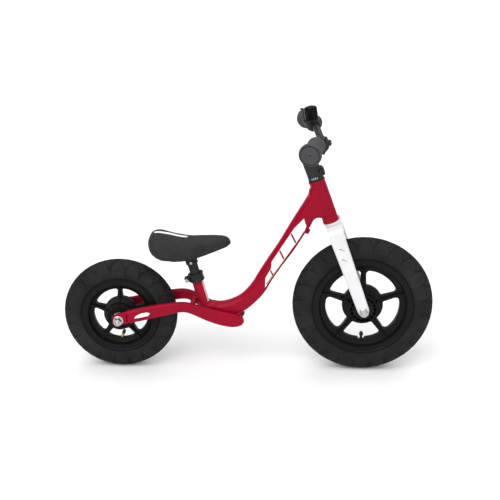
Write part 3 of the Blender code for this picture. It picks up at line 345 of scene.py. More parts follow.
def loft(rings, sharp=32.0):
    """Skins rings of points, with flat ends."""
    count = len(rings[0])
    points = [point for ring in rings for point in ring]
    faces = grid(len(rings), count)
    faces += [tuple(range(count)), tuple(range(len(points) - count, len(points)))]
    return skin(points, faces, sharp)


def fillet(corners, steps=5):
    """Rounds the corners of a flat outline. Each corner is (x, y, radius)."""
    outline = []
    for index, (x, y, radius) in enumerate(corners):
        here = Vector((x, y))
        if radius == 0:
            outline.append(here)
            continue
        before = (Vector(corners[index - 1][:2]) - here).normalized()
        after = (Vector(corners[(index + 1) % len(corners)][:2]) - here).normalized()
        half = before.angle(after) / 2
        middle = here + (before + after).normalized() * radius / sin(half)
        start = here + before * radius / tan(half) - middle
        end = here + after * radius / tan(half) - middle
        sweep = start.angle(end)
        for step in range(steps + 1):
            share = sweep * step / steps
            outline.append(middle + (start * sin(sweep - share) + end * sin(share)) / sin(sweep))
    return outline


def prism(outline, low, high, place):
    """A flat outline in XY of place, from Z low to Z high."""
    return loft([[place @ Vector((p[0], p[1], z)) for p in outline] for z in (low, high)])


def box(low, high, place=Matrix.Identity(4)):
    """A box between two corners."""
    outline = [(low[0], low[1]), (high[0], low[1]), (high[0], high[1]), (low[0], high[1])]
    return prism(outline, low[2], high[2], place)


def cylinder(radius, low, high, place, steps=48):
    """A cylinder about the Z axis of place, from Z low to Z high."""
    return prism(circle(radius, steps), low, high, place)


def smooth_rows(rows, spans):
    """Rows of numbers on a Catmull-Rom curve through the given rows."""
    result = []
    for i in range(len(rows) - 1):
        around = [rows[max(i - 1, 0)], rows[i], rows[i + 1], rows[min(i + 2, len(rows) - 1)]]
        for step in range(spans):
            t = step / spans
            result.append([
                0.5 * (2 * b + (c - a) * t + (2 * a - 5 * b + 4 * c - d) * t**2
                       + (3 * b - a - 3 * c + d) * t**3)
                for a, b, c, d in zip(*around)
            ])
    result.append(list(rows[-1]))
    return result


def tube(points, radius, steps=24, sharp=60.0):
    """A round bar along points, with flat ends."""
    rings = []
    side = Vector((1, 0, 0.01))
    for i, point in enumerate(points):
        run = (points[min(i + 1, len(points) - 1)] - points[max(i - 1, 0)]).normalized()
        side = (side - run * side.dot(run)).normalized()
        up = run.cross(side)
        size = radius[i] if isinstance(radius, list) else radius
        rings.append([point + (side * cos(a) + up * sin(a)) * size
                      for a in (2 * pi * k / steps for k in range(steps))])
    return loft(rings, sharp)


def modify(obj, kind, **settings):
    """Adds a modifier and returns it."""
    modifier = obj.modifiers.new(kind, kind)
    for key, value in settings.items():
        setattr(modifier, key, value)
    return modifier


def bake(obj, sharp=32.0):
    """Applies the object's modifiers."""
    graph = bpy.context.evaluated_depsgraph_get()
    mesh = bpy.data.meshes.new_from_object(obj.evaluated_get(graph))
    obj.modifiers.clear()
    obj.data = mesh
    if sharp:
        shade(obj, sharp)
    return obj


def boolean(obj, operation, *tools):
    """Cuts tools from obj or joins them to it, and removes them."""
    for tool in tools:
        modify(obj, "BOOLEAN", operation=operation, object=tool, solver="EXACT")
        bake(obj)
        bpy.data.objects.remove(tool)
    return obj


def cut(obj, *tools):
    return boolean(obj, "DIFFERENCE", *tools)


def weld(obj, *tools):
    return boolean(obj, "UNION", *tools)


def bevel(obj, width, segments=3, angle=35.0):
    modify(obj, "BEVEL", width=width, segments=segments, limit_method="ANGLE", angle_limit=radians(angle),
           miter_outer="MITER_ARC")
    return bake(obj)


def melt(obj, voxel, rounds):
    """Turns a joined shape into one with soft cast-looking corners."""
    modify(obj, "REMESH", mode="VOXEL", voxel_size=voxel)
    modify(obj, "SMOOTH", factor=0.5, iterations=rounds)
    return bake(obj, 0)


def merged(objects):
    """One object from several."""
    bm = bmesh.new()
    for obj in objects:
        bm.from_mesh(obj.data)
        bpy.data.objects.remove(obj)
    return from_bmesh(bm)


def add_nut(bolt, radius, low, high, place):
    """Joins a hexagonal nut to a bolt, between two heights of the place it is given."""
    nut = prism(circle(radius, 6), low, high, place)
    bevel(nut, 0.0004, 2, 40)
    weld(bolt, nut)


def look_name(node):
    """The name of the piece that stands for a CAD node. A side or a number stays last."""
    start, _, end = node.rpartition("_")
    return f"{start}_look_{end}" if end in ("left", "right") or end.isdigit() else node + "_look"


def dress(obj, body, finish, *nodes, name=None, slot=None):
    """Gives a piece its name, finish and body, and hides the CAD nodes it stands for. The slot is looked up
    but not kept.
    """
    obj.name = obj.data.name = name or look_name(nodes[0])
    obj.data.materials.clear()
    obj.data.materials.append(finish)
    for face in obj.data.polygons:
        face.material_index = 0
    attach(obj, body)
    slot or slots[finish.name]
    if nodes:
        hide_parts(*nodes)
    return obj


def surface_of(*objects):
    """A tree for finding points on the objects' surface."""
    points, faces = [], []
    for obj in objects:
        start = len(points)
        points += [vert.co.copy() for vert in obj.data.vertices]
        faces += [[start + i for i in face.vertices] for face in obj.data.polygons]
    return BVHTree.FromPolygons(points, faces)


def decal(outlines, tree, place, step, lift=0.00012, thickness=0.0003, reach=0.12):
    """A thin sticker: outlines in XY of place, dropped along its -Z onto a surface."""
    bm = bmesh.new()
    for outline in outlines:
        bm.faces.new([bm.verts.new((p[0], p[1], 0)) for p in outline])
    bmesh.ops.triangulate(bm, faces=bm.faces)
    for axis in (0, 1):
        values = [vert.co[axis] for vert in bm.verts]
        at = min(values) + step
        while at < max(values):
            centre, normal = Vector((0, 0, 0)), Vector((0, 0, 0))
            centre[axis], normal[axis] = at, 1
            bmesh.ops.bisect_plane(bm, geom=list(bm.verts) + list(bm.edges) + list(bm.faces), plane_co=centre,
                                   plane_no=normal, dist=1e-7)
            at += step
    down = (place.to_3x3() @ Vector((0, 0, -1))).normalized()
    lost = []
    for vert in bm.verts:
        start = place @ Vector((vert.co.x, vert.co.y, reach))
        hit, normal, _, _ = tree.ray_cast(start, down, reach * 2)
        if hit is None:
            lost.append(vert)
            continue
        if normal.dot(down) > 0:
            normal = -normal
        vert.co = hit + normal * lift
    bmesh.ops.delete(bm, geom=lost, context="VERTS")
    bmesh.ops.recalc_face_normals(bm, faces=bm.faces)
    average = Vector((0, 0, 0))
    for face in bm.faces:
        average += face.normal * face.calc_area()
    if average.dot(down) > 0:
        bmesh.ops.reverse_faces(bm, faces=bm.faces)
    mesh = bpy.data.meshes.new("sticker")
    bm.to_mesh(mesh)
    bm.free()
    obj = placed("sticker", mesh)
    modify(obj, "SOLIDIFY", thickness=thickness, offset=-1)
    return bake(obj, 40)


def rounded_ring(width, height, radius, steps=5):
    w, h = width / 2, height / 2
    radius = min(radius, 0.98 * w, 0.98 * h)
    return fillet([(w, h, radius), (-w, h, radius), (-w, -h, radius), (w, -h, radius)], steps)


def bead(points, radius=0.0017, pitch=0.0016):
    """A closed weld bead along points, with the ripples of its passes."""
    count = len(points)
    lengths = [(points[(i + 1) % count] - points[i]).length for i in range(count)]
    total = sum(lengths)
    steps = max(24, int(total / (pitch / 3)))
    spots, index, walked = [], 0, 0.0
    for step in range(steps):
        at = total * step / steps
        while walked + lengths[index] < at:
            walked += lengths[index]
            index += 1
        spots.append(points[index].lerp(points[(index + 1) % count], (at - walked) / lengths[index]))
    centre = sum(spots, Vector()) / steps
    verts, sides = [], 8
    for i, spot in enumerate(spots):
        run = (spots[(i + 1) % steps] - spots[i - 1]).normalized()
        out = spot - centre
        out = (out - run * out.dot(run)).normalized()
        up = run.cross(out)
        size = radius * (0.88 + 0.16 * abs(sin(pi * total * i / steps / pitch)))
        verts += [spot + (out * cos(a) + up * sin(a)) * size
                  for a in (2 * pi * k / sides for k in range(sides))]
    return skin(verts, grid(steps, sides, around=True), 80)


def straight_bead(points, radius=0.0019, pitch=0.0018):
    """An open weld bead along points."""
    dense = []
    for a, b in zip(points, points[1:]):
        count = max(1, int((b - a).length / (pitch / 3)))
        dense += [a.lerp(b, i / count) for i in range(count)]
    dense.append(points[-1])
    sizes = [radius * (0.86 + 0.18 * abs(sin(pi * i / 3))) for i in range(len(dense))]
    return tube(dense, sizes, 10, 80)


def crossing(rings, index, axis_place, radius):
    """Where a line along the rings meets a cylinder about the Z axis of axis_place."""
    inverse = axis_place.inverted()
    for row in range(len(rings) - 1):
        ends = []
        for ring in (rings[row], rings[row + 1]):
            local = inverse @ ring[index]
            ends.append(hypot(local.x, local.y) - radius)
        if ends[0] * ends[1] <= 0 and ends[0] != ends[1]:
            return rings[row][index].lerp(rings[row + 1][index], ends[0] / (ends[0] - ends[1]))
    return None


def hugged(points, axis_place, radius, spans=6):
    """The points with more between them, all pushed out onto a cylinder about the Z axis of axis_place."""
    local = [axis_place.inverted() @ point for point in points if point]
    result = []
    for here, there in zip(local, local[1:] + local[:1]):
        for step in range(spans):
            spot = here.lerp(there, step / spans)
            flat = Vector((spot.x, spot.y, 0)).normalized() * radius
            result.append(axis_place @ Vector((flat.x, flat.y, spot.z)))
    return result


# ------------------------------------------------------------------ frame

# Sections of the main tube in mm: X and Z of the top, X and Z of the bottom, width
MAIN_TUBE = [(-100, 156, -92, 119, 24.4), (-80, 159, -72, 118.5, 27.4), (-62, 156.5, -56, 119.5, 29.6),
             (-40, 161, -29, 125.5, 30), (-14, 175, 5, 147, 30), (9, 201, 36, 180, 30),
             (27, 232, 56, 214.3, 30), (47, 265, 77.2, 247.3, 29), (69, 300, 100.9, 281.2, 29),
             (93, 343, 127, 324, 30), (103, 360, 137, 339, 31), (113, 377, 143, 352, 32),
             (123, 394, 149, 358, 33), (131, 409, 155, 359.5, 34), (134.5, 422, 161, 359, 34),
             (150, 434, 178, 359, 34)]
# Sections of a stay in mm: X, distance from the middle, Z, height
STAYS = [(-8.5, 22.5, 124, 10), (-12, 22.5, 122.8, 19), (-19, 22.5, 121.2, 27), (-32, 22.5, 121, 31.5),
         (-48, 22.5, 123.4, 32), (-66, 23.2, 128, 31), (-84, 25.5, 134.6, 28.8), (-100, 29, 142.3, 26.4),
         (-115, 33, 150.1, 24.3), (-130, 36.5, 156.4, 23.2), (-145, 39, 158.7, 23.6), (-165, 40, 156.5, 25),
         (-190, 40, 151, 28), (-214, 40, 146, 29.5), (-238, 40, 140, 30), (-276, 40, 131.6, 29)]


def main_tube_section(width, height):
    """A crowned top with a soft edge on each side, flat sides and a rounded underside."""
    w, h = width / 2, height / 2
    return fillet([(w, h - 0.0085, 0.0055), (0.50 * w, h, 0.0075), (-0.50 * w, h, 0.0075),
                   (-w, h - 0.0085, 0.0055), (-w, -h, 0.0090), (w, -h, 0.0090)], 5)


def make_main_tube():
    """Makes the main tube and returns the weld beads at its ends."""
    rings = []
    for row in smooth_rows(MAIN_TUBE, 5):
        top, bottom = Vector((row[0], 0, row[1])) / 1000, Vector((row[2], 0, row[3])) / 1000
        middle, up = (top + bottom) / 2, (top - bottom).normalized()
        rings.append([middle + Vector((0, p[0], 0)) + up * p[1]
                      for p in main_tube_section(row[4] / 1000, (top - bottom).length)])
    main = loft(rings, 40)
    cut(main, cylinder(HEAD_R - 0.0006, -0.14, 0.04, STEER, 64),
        box((0, -0.06, -0.14), (0.09, 0.06, 0.04), STEER),
        cylinder(SEAT_TUBE_R - 0.0006, -0.14, 0.05, SEAT, 64),
        box((-0.06, -0.06, -0.14), (0.0, 0.06, 0.05), SEAT))
    dress(main, "frame", RED, "main_tube")
    beads = []
    for place, radius, size in ((STEER, HEAD_R, 0.0013), (SEAT, SEAT_TUBE_R, 0.0012)):
        meeting = [crossing(rings, i, place, radius) for i in range(len(rings[0]))]
        beads.append(bead(hugged(meeting, place, radius), size))
    return beads


def make_upright_tubes():
    low = -HEAD_LENGTH
    lip = HEAD_R + 0.0008
    head = revolve([(0.0150, 0), (HEAD_R - 0.0004, 0), (lip - 0.0003, -0.0004), (lip, -0.0010),
                    (lip, -0.0040), (lip - 0.0004, -0.0047), (HEAD_R, -0.0052), (HEAD_R, low + 0.0052),
                    (lip - 0.0004, low + 0.0047), (lip, low + 0.0040), (lip, low + 0.0010),
                    (lip - 0.0003, low + 0.0004), (HEAD_R - 0.0004, low), (0.0150, low)], 72, STEER)
    dress(head, "frame", RED, "head_tube")
    seat = revolve([(POST_R + 0.0003, 0.013), (SEAT_TUBE_R - 0.0003, 0.013), (SEAT_TUBE_R, 0.0125),
                    (SEAT_TUBE_R, -0.0855), (SEAT_TUBE_R - 0.0005, -0.086), (POST_R + 0.0003, -0.086)],
                   64, SEAT)
    dress(seat, "frame", RED, "seat_tube")


def make_stay(side, name):
    """Makes one chain stay and returns its weld beads along the main tube."""
    rings = []
    rows = smooth_rows(STAYS, 4)
    for i, (x, across, z, height) in enumerate(rows):
        before, after = rows[max(i - 1, 0)], rows[min(i + 1, len(rows) - 1)]
        run = Vector((after[0] - before[0], 0, after[2] - before[2])).normalized()
        up = Vector((-run.z, 0, run.x))
        if up.z < 0:
            up.negate()
        middle = Vector((x, side * across, z)) / 1000
        rings.append([middle + Vector((0, p[0], 0)) + up * p[1]
                      for p in rounded_ring(0.014, height / 1000, 0.0055, 6)])
    stay = loft(rings, 50)
    cut(stay, box((-0.300, -0.06, 0.09), (DROPOUT_X, 0.06, 0.17)))
    bevel(stay, 0.0012, 3, 60)
    dress(stay, "frame", RED, "stay_" + name)
    upper = [Vector((x, side * 15.4, z + h / 2 - 4.5)) / 1000 for x, _, z, h in rows if -76 < x < -10]
    lower = [Vector((x, side * 15.4, z - h / 2 + 3.0)) / 1000 for x, _, z, h in rows if -72 < x < -14]
    return [straight_bead(upper), straight_bead(lower)]


def make_dropout(side, name):
    """Makes the plate that holds one end of the rear axle and returns its weld bead."""
    front_x, low_z, high_z, back_x = DROPOUT_X, 0.1195, 0.1475, -0.300
    outline = fillet([(front_x + 0.004, low_z + 0.0008, 0), (front_x + 0.004, high_z - 0.0008, 0),
                      (front_x - 0.001, high_z - 0.0002, 0.002), (front_x - 0.020, high_z - 0.006, 0.008),
                      (back_x, high_z - 0.012, 0.006), (back_x, low_z - 0.001, 0.006),
                      (front_x - 0.020, low_z - 0.0035, 0.006), (front_x - 0.001, low_z, 0.002)], 7)
    outer = side * 0.047
    inner = outer - side * 0.006
    plate = prism(outline, -max(outer, inner), -min(outer, inner), turn("X", 90))
    cut(plate, cylinder(0.0053, -0.08, 0.08, REAR_AXLE @ ALONG_Y),
        box((-0.04, -0.08, -0.0053), (0, 0.08, 0.0053), REAR_AXLE))
    bevel(plate, 0.0009, 3, 40)
    dress(plate, "frame", RED, "dropout_" + name)
    edge = ((0.0012, low_z + 0.004), (0.0004, low_z + 0.008), (0.0004, high_z - 0.008),
            (0.0012, high_z - 0.004))
    return straight_bead([Vector((front_x - 0.0005, outer - side * d, z)) for d, z in edge], 0.0015)


def make_bridge_and_boss():
    """Makes the bridge between the stays and the threaded boss, and returns the weld beads around them."""
    place = shift(-0.122, 0, 0.154) @ ALONG_Y
    bridge = revolve([(0, -0.0268), (0.0062, -0.0268), (0.0065, -0.0264), (0.0065, 0.0264), (0.0062, 0.0268),
                      (0, 0.0268)], 48, place)
    dress(bridge, "frame", RED, "stay_bridge")
    beads = [bead([place @ Vector((*spot, y)) for spot in circle(0.0068, 36)], 0.0016)
             for y in (-0.0255, 0.0255)]
    place = shift(0.1295, 0, 0.3270) @ Vector((0.866, 0, -0.50)).to_track_quat("Z", "Y").to_matrix().to_4x4()
    boss = revolve([(0.0026, 0.0006), (0.0060, 0.0006), (0.0060, 0.0056), (0.0056, 0.0060), (0.0032, 0.0060),
                    (0.0026, 0.0054)], 40, place)
    dress(boss, "frame", RED, "accessory_boss")
    return beads + [bead([place @ Vector((*spot, 0.0004)) for spot in circle(0.0062, 30)], 0.0010)]


def make_frame():
    beads = make_main_tube()
    make_upright_tubes()
    for side, name in SIDES:
        beads += make_stay(side, name)
        beads.append(make_dropout(side, name))
    beads += make_bridge_and_boss()
    dress(merged(beads), "frame", RED, name="frame_welds")


def make_seat_clamp():
    """The collar that clamps the seatpost, and its bolt."""
    collar = revolve([(SEAT_TUBE_R + 0.0002, -0.0015), (0.0170, -0.0015), (0.0175, -0.0009), (0.0175, 0.0012),
                      (0.0168, 0.0022), (0.0168, 0.0125), (0.0175, 0.0135), (0.0175, 0.0159),
                      (0.0170, 0.0165), (SEAT_TUBE_R + 0.0002, 0.0165)], 64, SEAT)
    outline = fillet([(-0.0148, -0.0075, 0), (-0.0148, 0.0075, 0), (-0.0265, 0.0075, 0.0022),
                      (-0.0265, -0.0075, 0.0022)], 5)
    ears = prism(outline, 0.0005, 0.0115, SEAT)
    bevel(ears, 0.0012, 3, 60)
    weld(collar, ears)
    at = SEAT @ shift(-0.0215, 0, 0.006) @ ALONG_Y
    cut(collar, box((-0.030, -0.0012, -0.01), (-0.010, 0.0012, 0.02), SEAT),
        cylinder(0.0028, -0.02, 0.02, at))
    dress(collar, "frame", POST_PAINT, "seat_collar")
    bolt = revolve([(0, -0.0123), (0.0030, -0.0123), (0.0040, -0.0119), (0.0045, -0.0110), (0.0045, -0.0080),
                    (0.0025, -0.0078), (0.0025, 0.0090), (0.0021, 0.0095), (0, 0.0095)], 40, at)
    add_nut(bolt, 0.0046, 0.0078, 0.0113, at)
    cut(bolt, prism(circle(0.0023, 6), -0.02, -0.0098, at))
    dress(bolt, "frame", ZINC, "seat_collar_bolt")


# ------------------------------------------------------------------ wheels


def thread(start, end, radius, depth=0.00045, pitch=0.0010):
    """Profile points of a threaded stretch from height start down to end."""
    count = int(abs(start - end) / pitch)
    points = []
    for i in range(count):
        top = start + (end - start) * i / count
        step = (end - start) / count
        points += [(radius, top + step * 0.15), (radius - depth, top + step * 0.5),
                   (radius, top + step * 0.85)]
    return points


def make_axle(wheel, body, half, bearing_end, fork_face, face, tip, flange):
    """The axle and its two nuts, by their distances from the wheel's middle."""
    side = [(0, half), (0.0040, half), (0.0049, half - 0.0009)] + thread(half - 0.001, face, 0.005)
    side += [(0.005, fork_face - 0.0003), (0.0085, fork_face - 0.0003), (0.0085, bearing_end + 0.0003),
             (0.005, bearing_end + 0.0003)]
    axle = revolve(side + [(r, -z) for r, z in reversed(side)], 40, wheel.place @ WHEEL, sharp=25)
    dress(axle, body, ZINC, wheel.end + "_axle")
    for name, way in (("right", WHEEL), ("left", ALONG_Y)):
        at = wheel.place @ way @ turn("Z", 14)
        nut = prism(circle(0.0087, 6), face + 0.0016, tip, at)
        cone = revolve([(0, face), (0.0100, face), (0.0100, tip - 0.0022), (0.0074, tip), (0, tip)], 64, at)
        boolean(nut, "INTERSECT", cone)
        bevel(nut, 0.0003, 2, 40)
        base = revolve([(0.0052, face + 0.0002), (flange - 0.0003, face + 0.0002), (flange, face + 0.0006),
                        (flange, face + 0.0014), (flange - 0.0020, face + 0.0026), (0.0070, face + 0.0034),
                        (0.0052, face + 0.0034)], 56, at)
        weld(nut, base)
        cut(nut, cylinder(0.0051, 0.03, 0.09, at))
        dress(nut, body, ZINC, wheel.end + "_axle_nut_" + name)


def wheel_windows(inner, outer, spoke, rounding):
    """Outlines of the five openings between spokes that narrow from the hub out."""
    outlines = []
    hub_half, rim_half, pitch = spoke[0] / 2, spoke[1] / 2, 2 * pi / 5
    for index in range(5):
        start = pi / 2 + index * pitch
        low_in, low_out = start + asin(hub_half / inner), start + asin(rim_half / outer)
        high_in, high_out = start + pitch - asin(hub_half / inner), start + pitch - asin(rim_half / outer)

        def on(radius, angle, r=0):
            return radius * cos(angle), radius * sin(angle), r

        outlines.append(fillet(
            [on(inner, low_in, 0.003), on(outer, low_out, rounding)]
            + [on(outer, low_out + (high_out - low_out) * s) for s in (0.22, 0.3, 0.4, 0.5, 0.6, 0.7, 0.78)]
            + [on(outer, high_out, rounding), on(inner, high_in, 0.003)]
            + [on(inner, high_in + (low_in - high_in) * s) for s in (0.3, 0.5, 0.7)], 6))
    return outlines


def make_rim(wheel):
    """A wheel's moulded rim, spokes and hub, in one piece."""
    flange, half, lip, web, ring, hub, hub_half = wheel.rim
    front = wheel.end == "front"
    side = [(0.0095, hub_half - 0.0101, 0), (0.0133, hub_half - 0.0101, 0),
            (0.0133, hub_half - 0.0010, 0.0004)]
    if front:
        side += [(0.0235, hub_half - 0.0010, 0.0006), (0.0235, hub_half - 0.0110, 0),
                 (0.0288, hub_half - 0.0110, 0), (0.0288, hub_half, 0.0004)]
    else:
        side += [(0.0180, hub_half - 0.0010, 0.0005), (0.0188, hub_half - 0.0030, 0.0004),
                 (0.0225, hub_half - 0.0030, 0.0004), (0.0233, hub_half - 0.0008, 0.0004),
                 (0.0262, hub_half - 0.0002, 0.0005)]
    side += [(hub, hub_half, 0.0008), (hub + 0.0006, 0.0125, 0.0012), (ring - 0.0035, 0.0105, 0.0012),
             (ring, 0.0088, 0.0008), (ring + 0.0010, 0.0062, 0.0008), (web + 0.0004, 0.0062, 0.003),
             (lip - 0.0040, 0.0095, 0.004), (lip - 0.0006, half, 0.0012),
             (lip + 0.0028, half - 0.0012, 0.0008), (flange - 0.0040, half - 0.0012, 0.0008),
             (flange - 0.0022, half + 0.0002, 0.0006), (flange, half - 0.0004, 0.0008),
             (flange, half - 0.0025, 0.0008), (flange - 0.0105, half - 0.0028, 0.001),
             (flange - 0.0135, half - 0.0080, 0.003)]
    outline = fillet(side + [(r, -z, rounding) for r, z, rounding in reversed(side)], 4)
    at = wheel.place @ WHEEL
    rim = revolve(outline, 150, at)
    windows = wheel_windows(ring + 0.0014, web, wheel.spoke, wheel.corner)
    cut(rim, *[prism(window, -0.03, 0.03, at) for window in windows])
    ribs = []
    shape = [(0.0275, hub_half * 0.80), (ring - 0.006, 0.0145), (ring + 0.006, 0.0112),
             ((ring + web) / 2, 0.0100), (web - 0.006, 0.0104), (web + 0.003, 0.0125),
             (lip - 0.0030, half - 0.0050), (lip + 0.0004, half - 0.0060)]
    shape += [(r, -z) for r, z in reversed(shape)]
    for index in range(5):
        spoke_place = at @ turn("Z", 90 + 72 * index) @ turn("X", 90)
        rib = prism(shape, -0.0016, 0.0016, spoke_place)
        bevel(rib, 0.0006, 2, 60)
        ribs.append(rib)
    weld(rim, *ribs)
    if front:
        small = []
        for index in range(16):
            turned_place = at @ turn("Z", 360 / 16 * (index + 0.5))
            for low, high in ((hub_half - 0.0115, hub_half - 0.0022), (0.0022 - hub_half, 0.0115 - hub_half)):
                small.append(box((0.0228, -0.0010, low), (0.0292, 0.0010, high), turned_place))
        weld(rim, merged(small))
        cut(rim, cylinder(0.0082, -0.03, 0.03, at @ shift(0, -0.0800, 0)))
    cut(rim, cylinder(0.0036, -flange, -wheel.valve - 0.003, wheel.place))
    dress(rim, wheel.end + "_wheel", RIM, wheel.end + "_wheel")


def groove(distance, half_width, depth):
    """The depth at a distance from a groove's middle line, with sloping walls."""
    x = abs(distance) / half_width
    return 0.0 if x >= 1 else depth * (1 - x**4)


def tread(s, turns, side, pitch, width, reach):
    """How deep the surface lies under the tyre's plain outline, s along the section from the crown."""
    own = (turns + (0.5 if side > 0 else 0.0)) % 1.0
    t = own * 2 - 1
    half_pitch = pitch / 2
    start, end = 0.24 * width / 2, reach * width / 2
    bend = start + (end - start) * abs(t) ** 2.3
    slope = (end - start) * 2.3 * abs(t) ** 1.3 / half_pitch
    depth = groove((s - bend) / sqrt(1 + slope * slope), 0.0021, 0.0024)
    if abs(t) < 0.80:
        low = start + 0.0068
        inner = low + (end - low - 0.010) * (abs(t) / 0.80) ** 2.3
        slope = (end - low - 0.010) * 2.3 * (abs(t) / 0.80) ** 1.3 / half_pitch / 0.80
        depth = max(depth, groove((s - inner) / sqrt(1 + slope * slope), 0.0011, 0.0012))
    if 0.0035 < s < 0.72 * width / 2:
        q = (own + 0.55 * s / pitch) % 1.0
        depth = max(depth, groove(min(q, 1 - q) * pitch, 0.0014, 0.0018))
        q = (own + 0.5 - 0.40 * s / pitch) % 1.0
        if s < start:
            depth = max(depth, groove(min(q, 1 - q) * pitch, 0.0011, 0.0014))
    signed = s * side
    zig = abs(((turns * 2) % 1.0) * 2 - 1) * 2 - 1
    depth = max(depth, groove(signed - 0.0028 * zig, 0.0013, 0.0018))
    if s > end + 0.0012:
        depth -= 0.0005 * (0.5 + 0.5 * cos((s - end) / 0.0034 * 2 * pi))
    return depth


def make_tyre(wheel):
    """A wheel's hollow tyre, with the tread cut into it."""
    radius, width, flange, half = wheel.radius, wheel.width, wheel.rim.flange, wheel.rim.half
    per_block, across = 24, 88
    steps = wheel.blocks * per_block
    middle = radius - width / 2
    seat = half - 0.0034
    low = flange - 0.0105 + 0.0006
    limit = radians(124)
    pitch = 2 * pi * radius / wheel.blocks
    inner = width / 2 - 0.0040
    angles = [radians(-122 + 244 * k / 10) for k in range(11)]
    inside = [(middle + inner * cos(a), inner * sin(a)) for a in angles]
    at = wheel.place @ WHEEL
    rows = []
    for i in range(steps):
        angle = 2 * pi * i / steps
        row = [(low, seat - 0.0035), (low, seat), (flange - 0.0004, seat)]
        for k in range(across + 1):
            phi = limit * (1 - 2 * k / across)
            side = 1 if phi > 0 else -1
            s = abs(phi) * width / 2
            size = width / 2 - tread(s, i / per_block, side, pitch, width, wheel.reach)
            height = size * sin(phi)
            row.append((middle + size * cos(phi), height))
        row += [(flange - 0.0004, -seat), (low, -seat), (low, -seat + 0.0035)] + inside
        rows.append([at @ Vector((r * cos(angle), r * sin(angle), z)) for r, z in row])
    tyre = skin([point for row in rows for point in row], grid(steps, len(rows[0]), around=True), 48)
    dress(tyre, wheel.end + "_wheel", TYRE, wheel.end + "_tyre")


def make_valves():
    """The front wheel's straight valve and the rear wheel's bent brass one, each with its cap."""
    high = FRONT_R - 0.027 - 0.0105
    low = -0.069 - 0.0083
    profile = [(0, -high), (0.0030, -high), (0.0030, -high + 0.020)]
    profile += thread(-high + 0.021, low - 0.001, 0.0030, 0.0003) + [(0.0026, low), (0, low)]
    valve = revolve(profile, 28, FRONT_AXLE, sharp=25)
    dress(valve, "front_wheel", PLASTIC, "front_valve", slot="valve_rubber")
    base = -0.069 - 0.0080
    cap = revolve([(0, base), (0.0040, base), (0.0043, base + 0.0004), (0.0043, base + 0.0050),
                   (0.0036, base + 0.0060), (0.0032, base + 0.0080), (0, base + 0.0080)], 32, FRONT_AXLE)
    knurl = [box((-0.0045, -0.0003, base + 0.0006), (0.0045, 0.0003, base + 0.0046),
                 FRONT_AXLE @ turn("Z", 30 * i)) for i in range(6)]
    weld(cap, *knurl)
    dress(cap, "front_wheel", PLASTIC, "front_valve_cap")

    lean = Vector((sin(radians(22)), 0, cos(radians(22))))
    foot, elbow = Vector((0, 0, -(REAR_R - 0.025 - 0.0095))), Vector((0, 0, -0.0590))
    path = [REAR_AXLE @ p for p in (foot, foot.lerp(elbow, 0.5), elbow - Vector((0, 0, 0.002)),
                                    elbow + Vector((0.0003, 0, 0.0002)), elbow + lean * 0.003,
                                    elbow + lean * 0.0080)]
    stem = tube(path, [0.0031, 0.0031, 0.0033, 0.0033, 0.0031, 0.0031], 28)
    collar = cylinder(0.0046, -0.0725, -0.0680, REAR_AXLE, 6)
    weld(stem, collar)
    dress(stem, "rear_wheel", BRASS, "rear_valve")
    at = REAR_AXLE @ Matrix.Translation(elbow + lean * 0.0083) @ turn("Y", 22)
    cap = revolve([(0, 0), (0.0036, 0), (0.0038, 0.0004), (0.0038, 0.0056), (0.0031, 0.0066),
                   (0.0028, 0.0090), (0, 0.0090)], 32, at)
    dress(cap, "rear_wheel", PLASTIC, "rear_valve_cap")


# ------------------------------------------------------------------ fork, stem and handlebar


def make_fork():
    """The fork's crown and blades in one piece, and the headset's cap."""
    half, inside = BLADE_Y + 0.006, BLADE_Y - 0.006
    top, bottom = -0.102, -0.124
    outline = fillet([(half, bottom - 0.010, 0), (half, top - 0.007, 0.012), (0.033, top, 0.012),
                      (-0.033, top, 0.012), (-half, top - 0.007, 0.012), (-half, bottom - 0.010, 0),
                      (-inside, bottom - 0.010, 0), (-0.034, bottom, 0.009), (0.034, bottom, 0.009),
                      (inside, bottom - 0.010, 0)], 8)
    way = STEER @ shift(FORK_SHIFT, 0, 0) @ turn("X", 90) @ turn("Y", 90)
    crown = prism(outline, -0.0168, 0.0168, way)
    # Heights and widths of a blade's sections, in mm
    rows = [(-126, 33.4), (-160, 32), (-220, 29.5), (-280, 27), (-303, 25.8), (-310, 23), (-315, 18),
            (-318, 12.3), (-319.6, 6)]
    blades = []
    for side in (-1, 1):
        rings = [[STEER @ Vector((FORK_SHIFT + p[0], side * BLADE_Y + p[1], s / 1000))
                  for p in rounded_ring(width / 1000, 0.0121, 0.0052, 5)]
                 for s, width in smooth_rows(rows, 3)]
        blades.append(loft(rings, 50))
    weld(crown, *blades)
    weld(crown, cylinder(0.0178, top - 0.004, -HEAD_LENGTH - 0.0003, STEER, 64))
    melt(crown, 0.00125, 5)
    cut(crown, cylinder(STEERER_R + 0.0003, -0.16, -0.08, STEER, 48))
    slot = fillet([(FORK_SHIFT - 0.0053, -0.34, 0), (FORK_SHIFT - 0.0053, 0.0053 - AXLE_DROP, 0.0052),
                   (FORK_SHIFT + 0.0053, 0.0053 - AXLE_DROP, 0.0052), (FORK_SHIFT + 0.0053, -0.34, 0)], 8)
    cut(crown, prism(slot, -0.1, 0.1, STEER @ turn("X", 90)))
    shade(crown, 38)
    dress(crown, "steering", WHITE, "fork_crown", "fork_blade_left", "fork_blade_right", name="fork_look")
    cap = revolve([(STEERER_R + 0.0003, 0.0003), (0.0170, 0.0003), (0.0173, 0.0006), (0.0173, 0.0017),
                   (0.0168, 0.0024), (STEERER_R + 0.0003, 0.0026)], 64, STEER)
    dress(cap, "steering", PLASTIC, "headset_cap")


